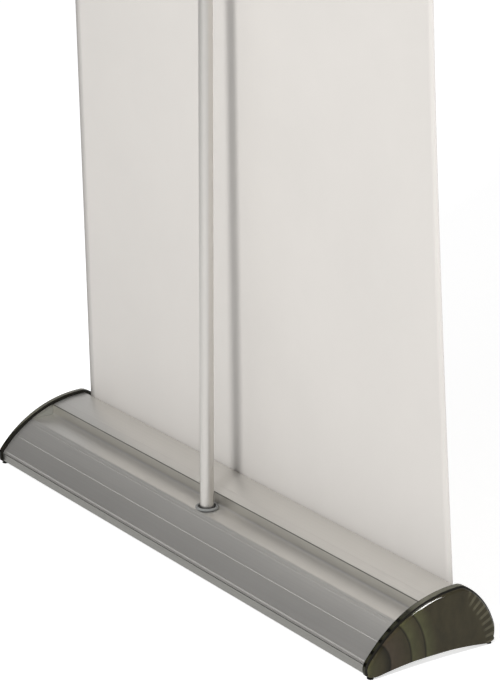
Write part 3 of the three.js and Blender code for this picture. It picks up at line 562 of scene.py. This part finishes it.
lip_y = reach_on(rear_circle, LIP_Z, SKIN_INSET, 1)
plate_points = rounded((0, PLATE_LOW), (lip_y, PLATE_LOW), (lip_y, LIP_TOP), 1.2, 5)
plate_points += rounded((lip_y, PLATE_LOW), (lip_y, LIP_TOP), (lip_y - SKIN, LIP_TOP), 0.5, 3)
plate_points += [
    (lip_y - SKIN, LIP_TOP),
    (lip_y - SKIN, PLATE_LOW + PLATE_THICK),
    (TROUGH_WALL_Y, PLATE_LOW + PLATE_THICK),
    (TROUGH_WALL_Y, PLATE_LOW),
]
plate = outline_object("plate", plate_points, -HALF_PROFILE)
plate_finish = finish_of(
    "anodised_plate",
    (0.27, 0.268, 0.25), (0.34, 0.335, 0.315), (0.34, 0.46),
    spacing=(1.2, 1500, 1500), bump=(0.25, 0.00002), metallic=0.85,
)
run_tree(plate, pressing, {"Length": 2 * HALF_PROFILE * MM, "Material": plate_finish})
clean(plate)
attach(plate, "base")
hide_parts("bottom_plate")

# ---------------------------------------------------------------- screws
# Zinc-plated screws with domed heads and cross recesses: four hold the bottom plate from below,
# and four at each end go through the end plate into the profile's screw ports.
PLATE_SCREWS_X = (-360, -130, 130, 360)
PLATE_SCREWS_Y = 10.5
PLATE_SEAT = 0.3
END_SEAT_X = 440.6
SHANK_OVERLAP = 0.0004
SCREW_SIZES = [
    ("Head radius", "NodeSocketFloat", 0.0032),
    ("Head height", "NodeSocketFloat", 0.0015),
    ("Shank radius", "NodeSocketFloat", 0.0014),
    ("Shank length", "NodeSocketFloat", 0.002),
    ("Recess width", "NodeSocketFloat", 0.0009),
]
screw_inputs = [*SCREW_SIZES, ("Material", "NodeSocketMaterial", None)]
screw_tree = new_tree("screws_on_points", screw_inputs)
given = screw_tree.nodes.new("NodeGroupInput")
head_radius, head_height, shank_radius, shank_length, recess_width = (
    given.outputs[label] for label, kind, default in SCREW_SIZES
)


def vector_of(x, y, z):
    return add_node(screw_tree, "ShaderNodeCombineXYZ", {0: x, 1: y, 2: z}).outputs["Vector"]


def moved(geometry, **how):
    node = add_node(screw_tree, "GeometryNodeTransform", {"Geometry": geometry, **how})
    return node.outputs["Geometry"]


def slab(size, centre):
    cube = add_node(screw_tree, "GeometryNodeMeshCube", {"Size": size})
    return moved(cube.outputs["Mesh"], Translation=centre)


# the head is the upper half of a flattened ball: the lower half is cut off by a block
ball = {"Segments": 24, "Rings": 12, "Radius": 1.0}
ball = add_node(screw_tree, "GeometryNodeMeshUVSphere", ball)
ball_scale = vector_of(head_radius, head_radius, head_height)
dome = moved(ball.outputs["Mesh"], Scale=ball_scale)
doubled = math_node(screw_tree, "MULTIPLY", head_radius, 4.0)
lower_at = vector_of(0, 0, math_node(screw_tree, "MULTIPLY", doubled, -0.5))
recess_long = math_node(screw_tree, "MULTIPLY", head_radius, 1.15)
recess_at = vector_of(0, 0, head_height)
head = add_node(screw_tree, "GeometryNodeMeshBoolean", {"Mesh 1": dome}, operation="DIFFERENCE")
for cutter in (
    slab(vector_of(doubled, doubled, doubled), lower_at),
    slab(vector_of(recess_long, recess_width, head_height), recess_at),
    slab(vector_of(recess_width, recess_long, head_height), recess_at),
):
    set_inputs(screw_tree, head, {"Mesh 2": cutter})
shank = add_node(screw_tree, "GeometryNodeMeshCylinder", {
    "Vertices": 20,
    "Radius": shank_radius,
    "Depth": math_node(screw_tree, "ADD", shank_length, SHANK_OVERLAP),
})
shank_middle = math_node(screw_tree, "MULTIPLY", shank_length, -0.5)
shank_z = math_node(screw_tree, "ADD", shank_middle, SHANK_OVERLAP / 2)
shank_at = vector_of(0, 0, shank_z)
whole = add_node(screw_tree, "GeometryNodeMeshBoolean", operation="UNION")
for part in (head.outputs["Mesh"], moved(shank.outputs["Mesh"], Translation=shank_at)):
    set_inputs(screw_tree, whole, {"Mesh 2": part})
spots = add_node(screw_tree, "GeometryNodeMeshToPoints", {"Mesh": given.outputs["Geometry"]})
facing = add_node(
    screw_tree, "GeometryNodeInputNamedAttribute", {"Name": "facing"}, data_type="FLOAT_VECTOR"
).outputs["Attribute"]
turned_to = add_node(screw_tree, "FunctionNodeAlignRotationToVector", {"Vector": facing}, axis="Z")
placed_screws = add_node(screw_tree, "GeometryNodeInstanceOnPoints", {
    "Points": spots.outputs["Points"],
    "Instance": whole.outputs["Mesh"],
    "Rotation": turned_to.outputs["Rotation"],
})
end_of_tree(screw_tree, placed_screws.outputs["Instances"], given)

zinc = finish_of(
    "zinc_plate",
    (0.42, 0.43, 0.44), (0.60, 0.61, 0.62), (0.24, 0.40),
    spacing=(420, 420, 420), bump=(0.2, 0.00002), metallic=1.0,
)


def screws(name, spots, way, head_height, shank_length, nodes):
    """One screw on each spot, with the heads towards the given way."""
    mesh = bpy.data.meshes.new(name)
    mesh.from_pydata([tuple(c * MM for c in spot) for spot in spots], [], [])
    for entry in mesh.attributes.new("facing", "FLOAT_VECTOR", "POINT").data:
        entry.vector = way
    piece = new_object(name, mesh)
    sizes = {"Head height": head_height, "Shank length": shank_length}
    run_tree(piece, screw_tree, {**sizes, "Material": zinc})
    clean(piece, 40)
    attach(piece, "base")
    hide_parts(*nodes)


screws(
    "screws_of_plate",
    [(x, PLATE_SCREWS_Y, PLATE_LOW - PLATE_SEAT) for x in PLATE_SCREWS_X],
    (0, 0, -1), 0.0014, 0.002,
    [f"plate_screw_{i}" for i in (1, 2, 3, 4)],
)
for hand, side in (("left", 1), ("right", -1)):
    seats = [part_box(f"end_screw_{hand}_{i}") for i in (1, 2, 3, 4)]
    screws(
        f"screws_of_{hand}_end",
        [(side * END_SEAT_X, (a.y + b.y) / 2 / MM, (a.z + b.z) / 2 / MM) for a, b in seats],
        (side, 0, 0), 0.002, 0.01,
        [f"end_screw_{hand}_{i}" for i in (1, 2, 3, 4)],
    )

# ---------------------------------------------------------------- end plates
# A zinc-plated steel plate is screwed across each end of the profile. It carries the roller, and
# its upper part closes the end of the trough.


def painted(piece, finish):
    """Gives the piece this one finish."""
    piece.data.materials.clear()
    piece.data.materials.append(finish)


bright_zinc = finish_of(
    "bright_zinc",
    (0.42, 0.425, 0.39), (0.52, 0.525, 0.48), (0.45, 0.6),
    spacing=(300, 300, 300), bump=(0.2, 0.00002), metallic=0.5,
)
for hand in ("left", "right"):
    painted(cad[f"end_plate_{hand}"], bright_zinc)

# ---------------------------------------------------------------- end caps
# Each end of the base is closed by a moulding of smoked, see-through plastic with a polished face.
# Its skirt slips over the profile; ribs and curved webs moulded inside show through as patches.
HALF_LENGTH = 448.0
SKIRT_X = 435.2
SKIRT_TAPER = 2.9  # the skirt is narrower by this at the rear tip
TAPER_Y = (20.0, 90.0)
CAP_FACE = 2.7
# rings of the outer skin, as x and how far it is drawn in
FACE_EDGE = (
    (442.6, 0.0), (443.1, 0.2), (443.4, 0.6), (443.6, 1.2), (443.8, 2.0), (444.0, 2.3),
    (444.5, 2.3), (445.4, 2.42), (446.25, 2.77), (446.97, 3.33), (447.53, 4.05), (447.88, 4.89),
    (448.0, 5.8),
)
SKIRT_EDGE = ((0.0, 0.5), (0.12, 0.15), (0.4, 0.0))
UNDERSIDE = (0.3, 0.6)
UNDER_LESS = 0.85  # the edges are rounded this much less along the underside
STAND_Z = 1.0
FEET = (85.0, -87.0)
FOOT_RISE = 2.8
ARCH_RISE = 7.5
PEGS = ((43.97, 27.0), (-62.0, 44.0))
POCKETS = ((4.1, 441.2), (6.5, HALF_LENGTH - CAP_FACE))
POCKET_LOW = 3.9
POCKET_PAST = 0.3
POCKET_START = 5.0
PEG_FROM = 438.0
PEG_RADIUS = 2.5
PEG_SUNK = 0.5


def bowed(a, b, rise, steps):
    """Points of an arc from a to b, past a, that stands out by rise on the right of the way."""
    dy, dz = b[0] - a[0], b[1] - a[1]
    chord = math.hypot(dy, dz)
    radius = (chord**2 / 4 + rise**2) / (2 * abs(rise))
    half = math.asin(chord / 2 / radius)
    points = []
    for i in range(1, steps + 1):
        angle = -half + 2 * half * i / steps
        t = radius * math.sin(angle) / chord + 0.5
        out = math.copysign(radius * math.cos(angle) - radius * math.cos(half), rise) / chord
        points.append((a[0] + t * dy + out * dz, a[1] + t * dz - out * dy))
    return points


def rounded_loop(points, corners, size, steps=6):
    """The closed outline with the corners nearest the given points made round."""
    loop = list(points)
    for corner in corners:
        at = min(range(len(loop)), key=lambda i: math.dist(loop[i], corner))
        middle = loop[at]
        count = len(loop)
        back, ahead = 1, 1
        while math.dist(loop[(at - back) % count], middle) < size:
            back += 1
        while math.dist(loop[(at + ahead) % count], middle) < size:
            ahead += 1
        a, b = Vector(loop[(at - back) % count]), Vector(loop[(at + ahead) % count])
        kept = [loop[(at + ahead + k) % count] for k in range(1, count - back - ahead)]
        loop = curve_past(a, Vector(middle), b, steps) + kept
    return loop


def evenly(points, spacing):
    """The closed outline with points at even distances along it."""
    lengths = [math.dist(a, b) for a, b in zip(points, points[1:] + points[:1])]
    total = sum(lengths)
    count = round(total / spacing)
    result, walked, i = [], 0.0, 0
    for k in range(count):
        target = total * k / count
        while walked + lengths[i] < target:
            walked += lengths[i]
            i += 1
        t = (target - walked) / lengths[i]
        a, b = points[i], points[(i + 1) % len(points)]
        result.append((a[0] + (b[0] - a[0]) * t, a[1] + (b[1] - a[1]) * t))
    return result


def drawn_in(points, inset):
    """The closed outline moved inwards by inset; it runs with its inside on the left."""
    result = []
    count = len(points)
    for i in range(count):
        a, p, b = (Vector(points[(i + k) % count]) for k in (-1, 0, 1))
        before, after = (p - a).normalized(), (b - p).normalized()
        way = (before + after).normalized()
        normal = Vector((-way.y, way.x))
        slant = max(0.5, normal.dot(Vector((-before.y, before.x))))
        under = min(1.0, max(0.0, (normal.y - UNDERSIDE[0]) / UNDERSIDE[1]))
        result.append(tuple(p + normal * inset / slant * (1 - UNDER_LESS * under)))
    return result


cap_points = ribbed(rear_circle, 0, REAR_TIP[0], RIDGE[0])
cap_points += down_front(0, RIDGE[0], FRONT_TIP[1])[1:]
cap_points += bowed(FRONT_TIP, (FEET[1], STAND_Z), FOOT_RISE, 6)
cap_points += bowed((FEET[1], STAND_Z), (FEET[0], STAND_Z), -ARCH_RISE, 30)
cap_points += bowed((FEET[0], STAND_Z), REAR_TIP, FOOT_RISE, 6)[:-1]
cap_points = rounded_loop(cap_points, (REAR_TIP, FRONT_TIP), 11.0, 10)
cap_points = rounded_loop(cap_points, (RIDGE,), 4.0)
cap_points = rounded_loop(cap_points, ((FEET[1], STAND_Z), (FEET[0], STAND_Z)), 7.0, 10)
cap_points = evenly(cap_points, 1.6)

smoked = finish_of(
    "smoked_plastic",
    (0.66, 0.66, 0.68), (1.15, 1.15, 1.12), (0.05, 0.10),
    spacing=(75, 75, 45), bump=(0.05, 0.00002),
)
cap_tree = smoked.node_tree


def calc(operation, first, second=0.0):
    return math_node(cap_tree, operation, first, second)


def blend(factor, first, second, kind="MIX"):
    return mixed(cap_tree, factor, first, second, kind)


place = add_node(cap_tree, "ShaderNodeTexCoord").outputs["Object"]
parts = add_node(cap_tree, "ShaderNodeSeparateXYZ", {"Vector": place}).outputs
across, up = parts["Y"], parts["Z"]
out_x = calc("ABSOLUTE", parts["X"])


def measured_from(point):
    """How far across and up from the point, in metres."""
    y = calc("SUBTRACT", across, point[0] * MM)
    return y, calc("SUBTRACT", up, point[1] * MM)


def distance_from(point):
    y, z = measured_from(point)
    squares = [calc("MULTIPLY", part, part) for part in (y, z)]
    return calc("SQRT", calc("ADD", *squares))


def to_and_fro(point, times):
    """From 0 to 1 and back, again and again round the point."""
    y, z = measured_from(point)
    turns = calc("MULTIPLY", calc("ARCTAN2", z, y), times)
    return calc("PINGPONG", turns, 1.0)


def mask_of(value, *stops):
    """Black to white, by stops of place and level."""
    return ramp_of(cap_tree, value, [(place, (level,) * 3) for place, level in stops])


# curved webs about the rear tip
OLIVE = (0.044, 0.037, 0.019)
OLIVE_LIGHT = (0.075, 0.074, 0.034)
OLIVE_BROWN = (0.060, 0.045, 0.030)
OLIVE_DARK = (0.012, 0.010, 0.005)
WEB_REACH = 200.0
WEB_STOPS = (
    (0.0, OLIVE_LIGHT), (0.12, OLIVE), (0.185, OLIVE_DARK), (0.195, OLIVE_BROWN),
    (0.325, OLIVE), (0.333, OLIVE_DARK), (0.345, OLIVE_LIGHT), (0.43, OLIVE),
    (0.436, OLIVE_DARK), (0.45, OLIVE_LIGHT), (0.53, OLIVE), (0.90, OLIVE), (1.0, OLIVE_LIGHT),
)
from_tip = calc("DIVIDE", distance_from(REAR_TIP), WEB_REACH * MM)
webs = ramp_of(cap_tree, from_tip, WEB_STOPS)
# short ribs along the inside of the front
FRONT_RIBS = 19.0
RIB_LIGHT = (0.105, 0.095, 0.06)
PER_DM = 10.0
front_reach = calc("DIVIDE", distance_from(front_circle), FRONT_RADIUS * MM)
near_front = mask_of(front_reach, (0.80, 0), (0.84, 1), (0.97, 1), (0.99, 0))
front_ribs = to_and_fro(front_circle, FRONT_RIBS)
rib_line = mask_of(front_ribs, (0.0, 1), (0.35, 1), (0.45, 0), (1.0, 0))
fore = mask_of(calc("MULTIPLY", across, -PER_DM), (0.50, 0), (0.58, 1))
rib_mask = blend(1.0, blend(1.0, near_front, rib_line, "MULTIPLY"), fore, "MULTIPLY")
face_color = blend(rib_mask, webs, RIB_LIGHT)
# the skirt: painted light shines through the clear plastic over the top; darker and cut by
# block-shaped ribs towards the rear
SKIRT_BLOCKS = 21.0
BLOCK_STOPS = (
    (0.0, (0.003, 0.003, 0.002)), (0.22, (0.004, 0.004, 0.002)),
    (0.34, (0.020, 0.020, 0.011)), (1.0, (0.032, 0.032, 0.02)),
)
SKIRT_LIT_THROUGH = (0.150, 0.146, 0.112)
# painted light: on the left cap the light painted through the skirt reaches this much further back
LEFT_LIT_BY = 0.4  # the left cap's clear part runs this many decimetres further back
block_color = ramp_of(cap_tree, to_and_fro(rear_circle, SKIRT_BLOCKS), BLOCK_STOPS)
on_left = calc("GREATER_THAN", parts["X"], 0.0)
left_lit_shift = calc("MULTIPLY", on_left, LEFT_LIT_BY)
along_skirt = calc("SUBTRACT", calc("MULTIPLY", across, PER_DM), left_lit_shift)
rear_fade = mask_of(along_skirt, (0.08, 0), (0.34, 1))
skirt_color = blend(rear_fade, SKIRT_LIT_THROUGH, block_color)
taper = add_node(cap_tree, "ShaderNodeMapRange", {
    "Value": across, "From Min": TAPER_Y[0] * MM, "From Max": TAPER_Y[1] * MM,
    "To Max": SKIRT_TAPER * MM,
}, interpolation_type="SMOOTHSTEP").outputs["Result"]
# painted shade: dark lines along the skirt's edge and in the step round the face
FACE_FROM = 0.442
PER_STEP = 150.0
EDGE_SHADE_TONE = (0.012, 0.011, 0.008)
from_edge = calc("SUBTRACT", calc("SUBTRACT", out_x, SKIRT_X * MM), taper)
skirt_rim_shade = mask_of(calc("MULTIPLY", from_edge, PER_CM), (0.08, 1), (0.11, 0))
outwards = calc("MULTIPLY", calc("SUBTRACT", out_x, FACE_FROM), PER_STEP)
face_step_shade = mask_of(outwards, (0.15, 0), (0.2, 1), (0.42, 1), (0.5, 0))
edge_shade_mask = blend(1.0, skirt_rim_shade, face_step_shade, "ADD")
is_face = mask_of(outwards, (0.38, 0), (0.46, 1))
whole_color = blend(is_face, skirt_color, face_color)
whole_color = blend(edge_shade_mask, whole_color, EDGE_SHADE_TONE)
clouded = blend(1.0, whole_color, cap_tree.nodes["tint"].outputs[2], "MULTIPLY")
set_inputs(cap_tree, cap_tree.nodes["Principled BSDF"], {
    "Base Color": clouded, "Specular IOR Level": 0.2,
})

for hand, side in (("left", 1), ("right", -1)):
    shape = bmesh.new()
    loops = []
    for x, inset in (*((SKIRT_X + x, inset) for x, inset in SKIRT_EDGE), *FACE_EDGE):
        ring = drawn_in(cap_points, inset) if inset else cap_points
        line = []
        for y, z in ring:
            t = min(1.0, max(0.0, (y - TAPER_Y[0]) / (TAPER_Y[1] - TAPER_Y[0])))
            narrower = SKIRT_TAPER * t * t * (3 - 2 * t) if x < SKIRT_X + 1 else 0.0
            line.append(shape.verts.new((side * (x + narrower) * MM, y * MM, z * MM)))
        loops.append(line)
    for low, high in zip(loops, loops[1:]):
        band(shape, low, high)
    shape.faces.new(loops[0])
    shape.faces.new(loops[-1])
    bmesh.ops.recalc_face_normals(shape, faces=shape.faces)
    cap = mesh_piece(f"cap_{hand}", shape)
    polished.objects.link(cap)
    for pocket_inset, pocket_end in POCKETS:
        pocket = ribbed(rear_circle, pocket_inset, lip_y + POCKET_PAST, SLOT[0] - POCKET_PAST)
        pocket += down_front(pocket_inset, SLOT[1] + POCKET_PAST, FLOOR_Z)
        pocket += [(reach_on(front_circle, FLOOR_Z, pocket_inset, -1), POCKET_LOW)]
        pocket += [(lip_y + POCKET_PAST, POCKET_LOW)]
        hollow = outline_object("hollow", pocket, side * (SKIRT_X - POCKET_START))
        deep = side * (pocket_end - SKIRT_X + POCKET_START) * MM
        run_tree(hollow, pressing, {"Length": deep, "Material": smoked})
        clean(hollow)
        cut_away(cap, hollow)
    for y, z in PEGS:
        across_x = Matrix.Translation((0, y * MM, z * MM)) @ Matrix.Rotation(math.pi / 2, 4, "Y")
        ends = side * PEG_FROM, side * (HALF_LENGTH - CAP_FACE + PEG_SUNK)
        section = [(0, ends[0]), (PEG_RADIUS, ends[0]), (PEG_RADIUS, ends[1]), (0, ends[1])]
        peg = turned("peg", section, across_x, 32)
        cut_away(cap, peg, "UNION")
    painted(cap, smoked)
    for face in cap.data.polygons:
        face.material_index = 0
    clean(cap, 28)
    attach(cap, "base")
    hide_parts(f"end_cap_{hand}")

# ---------------------------------------------------------------- foot pads
# Four small oblong pads of black rubber are stuck under the feet of the end caps.
rubber = finish_of(
    "black_rubber", (0.012, 0.012, 0.012), (0.028, 0.027, 0.026), (0.75, 0.92),
    spacing=(700, 700, 700), bump=(0.4, 0.00005),
)
for hand in ("left", "right"):
    for end in ("rear", "front"):
        painted(cad[f"foot_pad_{end}_{hand}"], rubber)

# ---------------------------------------------------------------- pole socket and collar
# A black moulded cup hangs in the floor of the trough and holds the pole's foot. A grey ring with
# a rounded shoulder is pressed on round its mouth.
black_plastic = finish_of(
    "black_moulding", (0.010, 0.010, 0.011), (0.024, 0.024, 0.025), (0.38, 0.55),
    spacing=(1400, 1400, 1400), bump=(0.35, 0.00003),
)
grey_plastic = finish_of(
    "grey_moulding", (0.20, 0.205, 0.20), (0.27, 0.275, 0.27), (0.30, 0.45),
    spacing=(1400, 1400, 1400), bump=(0.3, 0.00003),
)


def on_pole(name, section, finish, node, body, segments=96):
    """A piece turned about the pole's axis, with heights from the floor of the trough."""
    piece = turned(name, section, POLE_AXIS, segments)
    painted(piece, finish)
    clean(piece)
    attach(piece, body)
    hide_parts(node)


on_pole(
    "socket",
    [(0, -34.3), (10.4, -34.3), (11.2, -34.0), (11.6, -33.2), (11.6, 2.8), (11.4, 3.1),
     (9.9, 3.1), (9.5, 2.8), (9.3, 2.3), (9.3, -32.3), (0, -32.3)],
    black_plastic, "pole_socket", "base",
)
on_pole(
    "collar",
    [(11.9, 0.8), (14.8, 0.8), (15.0, 1.0), (15.0, 2.2), (14.9, 2.75), (14.5, 3.3), (14.0, 3.6),
     (13.4, 3.7), (12.5, 3.7), (12.1, 3.55), (11.9, 3.2)],
    grey_plastic, "pole_collar", "base",
)

# ---------------------------------------------------------------- pole
# The pole is three lengths of drawn aluminium tube, anodised bright. Steel joiners inside hold
# them in line, and black plugs close its foot and its top.
bright = finish_of(
    "bright_tube",
    (0.65, 0.632, 0.603), (0.71, 0.691, 0.658), (0.36, 0.44),
    spacing=(1600, 1600, 3.0), bump=(0.15, 0.00002), metallic=0.95,
)
TUBE_OUT = 9.0
TUBE_IN = 8.0
TUBE_LENGTH = 700.0
TUBE_GAP = 0.3
TUBE_FROM = -29.2
for i, name in enumerate(("lower", "middle", "upper")):
    low = TUBE_FROM + (TUBE_LENGTH + TUBE_GAP) * i
    high = low + TUBE_LENGTH
    on_pole(
        f"tube_{name}",
        [(TUBE_IN, low), (TUBE_OUT - 0.3, low), (TUBE_OUT, low + 0.3), (TUBE_OUT, high - 0.3),
         (TUBE_OUT - 0.3, high), (TUBE_IN, high)],
        bright, f"pole_{name}", "pole",
    )
for i in (1, 2):
    painted(cad[f"pole_joiner_{i}"], zinc)
on_pole(
    "foot_plug",
    [(0, -32), (7.6, -32), (8.6, -31.6), (9, -30.8), (9, -29.5), (7.7, -29.5), (7.7, -10.0),
     (7.2, -9.5), (0, -9.5)],
    black_plastic, "pole_foot_plug", "pole", 64,
)
TOP = 2071.4
on_pole(
    "top_plug",
    [(0, TOP - 22), (7.2, TOP - 22), (7.7, TOP - 21.5), (7.7, TOP), (4, TOP), (4, TOP + 6.6),
     (6, TOP + 6.6), (6, TOP + 7.2), (5.6, TOP + 8.0), (4.6, TOP + 8.35), (0, TOP + 8.4)],
    black_plastic, "pole_top_plug", "pole", 64,
)
painted(cad["pole_hook"], black_plastic)

# ---------------------------------------------------------------- banner and the roll in the base
# The banner is a sheet of matt off-white film, plain on both sides. It comes off the roller, up
# through the slot, and is clamped in the top rail; one side edge bows a little to the rear.
BANNER_Y = -48.2
BANNER_HALF = 423.0
BANNER_LOW = 38.0
BANNER_TOP = 2135.1
BOW_LOW = 80.43
BOW = 34.0
BOW_FROM = 60.0
BOW_PEAK = 1099.4
BOW_END = 1680.0
FILM = 0.4
THREADS = 320.0

film = finish_of(
    "banner_film",
    (0.632, 0.607, 0.576), (0.673, 0.646, 0.613), (0.50, 0.62),
    spacing=(5, 5, 5), bump=(0.03, 0.002),
)
tree = film.node_tree
weave_map = add_node(tree, "ShaderNodeUVMap", uv_map="cloth").outputs["UV"]
threads = [
    add_node(tree, "ShaderNodeTexWave", {
        "Scale": THREADS, "Distortion": 0.4, "Vector": weave_map,
    }, bands_direction=direction).outputs["Fac"]
    for direction in ("X", "Y")
]
weave = add_node(tree, "ShaderNodeBump", {
    "Strength": 0.06, "Distance": 0.0001, "Height": math_node(tree, "MAXIMUM", *threads),
    "Normal": tree.nodes["relief"].outputs["Normal"],
})
set_inputs(tree, tree.nodes["Principled BSDF"], {"Normal": weave.outputs["Normal"]})

columns, rows = 60, 150
shape = bmesh.new()
cloth_map = shape.loops.layers.uv.new("cloth")
grid = []
for i in range(rows + 1):
    z = BANNER_LOW + (BANNER_TOP - BANNER_LOW) * i / rows
    half_wave = BOW_PEAK - BOW_LOW if z < BOW_PEAK else BOW_END - BOW_PEAK
    rise = max(0.0, math.cos(min(math.pi / 2, abs(z - BOW_PEAK) / half_wave * math.pi / 2)))
    line = []
    for j in range(columns + 1):
        x = BANNER_HALF * (2 * j / columns - 1)
        part = max(0.0, (-x - BOW_FROM) / (BANNER_HALF - BOW_FROM))
        y = BANNER_Y + BOW * part**2 * rise
        line.append(shape.verts.new((x * MM, y * MM, z * MM)))
    grid.append(line)
for i in range(rows):
    for j in range(columns):
        face = shape.faces.new((grid[i][j], grid[i][j + 1], grid[i + 1][j + 1], grid[i + 1][j]))
        for loop in face.loops:
            loop[cloth_map].uv = (loop.vert.co.x, loop.vert.co.z)
banner = mesh_piece("banner_sheet", shape)
painted(banner, film)
clean(banner, 60, outward=False)
body = banner.modifiers.new("film", "SOLIDIFY")
body.thickness = FILM * MM
body.offset = 0.0
keep_result(banner)

ROLLER = (-31.2, 38.0)
WRAP_FROM = 15.32
WRAP_TO = 16.55
WRAP_THICK = 0.3
TURNS = 3.4
WRAP_STEPS = 180
wrap = []
# out along the wound film's outer side and back along its inner side
for shift, stations in ((WRAP_THICK, range(WRAP_STEPS + 1)), (0.0, range(WRAP_STEPS, -1, -1))):
    for i in stations:
        t = i / WRAP_STEPS
        radius = WRAP_FROM + (WRAP_TO - WRAP_THICK - WRAP_FROM) * t + shift
        angle = math.pi - 2 * math.pi * TURNS * (1 - t)
        wrap.append((ROLLER[0] + radius * math.cos(angle), ROLLER[1] + radius * math.sin(angle)))
wound = outline_object("wound_turns", wrap, -BANNER_HALF)
run_tree(wound, pressing, {"Length": 2 * BANNER_HALF * MM, "Material": film})
clean(wound)
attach(wound, "roller")
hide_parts("wound_banner")

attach(banner, "rail")
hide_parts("banner")
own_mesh(banner)

# ---------------------------------------------------------------- roller
# A spring roller lies in the base: an aluminium tube with black plugs that turn on a steel pin
# and on a steel shaft, with a torsion spring between the shaft and the tube.
for node, coat in (
    ("roller_tube", plate_finish),
    ("roller_plug_left", black_plastic),
    ("roller_plug_right", black_plastic),
    ("spring_anchor", black_plastic),
    ("roller_pin", zinc),
    ("spring_shaft", zinc),
):
    painted(cad[node], coat)
oiled = finish_of(
    "oiled_spring", (0.10, 0.10, 0.105), (0.20, 0.20, 0.21), (0.28, 0.45),
    spacing=(600, 600, 600), bump=(0.2, 0.00002), metallic=1.0,
)
painted(cad["torsion_spring"], oiled)

# ---------------------------------------------------------------- top rail
# The rail is a small anodised extrusion. The banner's top edge is wedged in its slot by a plastic
# strip, the hook's finger sits in the groove behind, and a black cap closes each end.
RAIL_FRONT = -55.2
RAIL_REAR = -39.2
RAIL_LOW, RAIL_TOP = (corner.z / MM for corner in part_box("top_rail"))
RAIL_HALF = 424.0
SLOT_HALF = 1.7
SLOT_DEEP = 17.0
GROOVE = (7.0, 15.5, 4.5)
SHOULDER = 3.0
CROWN = 1.4
SHOULDER_DROP = 2.2
SHOULDER_BEND = 2.4
CHAMBER_LOW = 18.5
RAIL_CAP = 3.0
RAIL_CAP_GAP = 0.3
TONGUE = ((0.3, 7.3), (0.3, 15.2), (4.2, 15.2), (4.2, 7.3))
TONGUE_FROM = 9.7
TONGUE_LENGTH = 12.5


def rail_points(grooved):
    rear_crown = (RAIL_REAR - SHOULDER, RAIL_TOP - CROWN)
    front_crown = (RAIL_FRONT + SHOULDER, RAIL_TOP - CROWN)
    rear_corner = (RAIL_REAR, RAIL_TOP - SHOULDER_DROP)
    front_corner = (RAIL_FRONT, RAIL_TOP - SHOULDER_DROP)
    points = [(RAIL_REAR, RAIL_LOW)]
    if grooved:
        low, high, deep = GROOVE
        points += [(RAIL_REAR, RAIL_LOW + low), (RAIL_REAR - deep, RAIL_LOW + low)]
        points += [(RAIL_REAR - deep, RAIL_LOW + high), (RAIL_REAR, RAIL_LOW + high)]
    points += rounded((RAIL_REAR, RAIL_LOW), rear_corner, rear_crown, SHOULDER_BEND, 6)
    points += bowed(rear_crown, front_crown, CROWN, 12)
    points += rounded(front_crown, front_corner, (RAIL_FRONT, RAIL_LOW), SHOULDER_BEND, 6)
    points += [(RAIL_FRONT, RAIL_LOW)]
    if grooved:
        for y in (BANNER_Y - SLOT_HALF, BANNER_Y + SLOT_HALF):
            pair = [(y, RAIL_LOW), (y, RAIL_LOW + SLOT_DEEP)]
            points += pair if y < BANNER_Y else pair[::-1]
    return points


rail = outline_object("rail", rail_points(True), -RAIL_HALF)
run_tree(rail, pressing, {"Length": 2 * RAIL_HALF * MM, "Material": anodised})
chamber_points = [
    (RAIL_REAR - SHOULDER, RAIL_LOW + CHAMBER_LOW), (RAIL_REAR - SHOULDER, RAIL_TOP - SHOULDER),
    (RAIL_FRONT + SHOULDER, RAIL_TOP - SHOULDER), (RAIL_FRONT + SHOULDER, RAIL_LOW + CHAMBER_LOW),
]
chamber = outline_object("chamber", chamber_points, -RAIL_HALF - 1)
run_tree(chamber, pressing, {"Length": 2 * (RAIL_HALF + 1) * MM, "Material": anodised})
clean(chamber)
clean(rail)
cut_away(rail, chamber)
clean(rail)
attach(rail, "rail")
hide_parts("top_rail")
for hand, side in (("left", 1), ("right", -1)):
    lid_x = side * (RAIL_HALF + RAIL_CAP_GAP)
    lid = outline_object(f"rail_end_{hand}", rail_points(False), lid_x)
    run_tree(lid, pressing, {"Length": side * RAIL_CAP * MM, "Material": black_plastic})
    clean(lid)
    edge = lid.modifiers.new("edge", "BEVEL")
    edge.width = 0.4 * MM
    edge.segments = 2
    edge.limit_method = "ANGLE"
    keep_result(lid)
    tongue_points = [(RAIL_REAR - y, RAIL_LOW + z) for y, z in TONGUE]
    tongue = outline_object("tongue", tongue_points, side * (RAIL_HALF - TONGUE_FROM))
    run_tree(tongue, pressing, {"Length": side * TONGUE_LENGTH * MM, "Material": black_plastic})
    clean(tongue)
    cut_away(lid, tongue, "UNION")
    clean(lid, 25)
    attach(lid, "rail")
    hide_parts(f"rail_cap_{hand}")
painted(cad["clamp_strip"], grey_plastic)
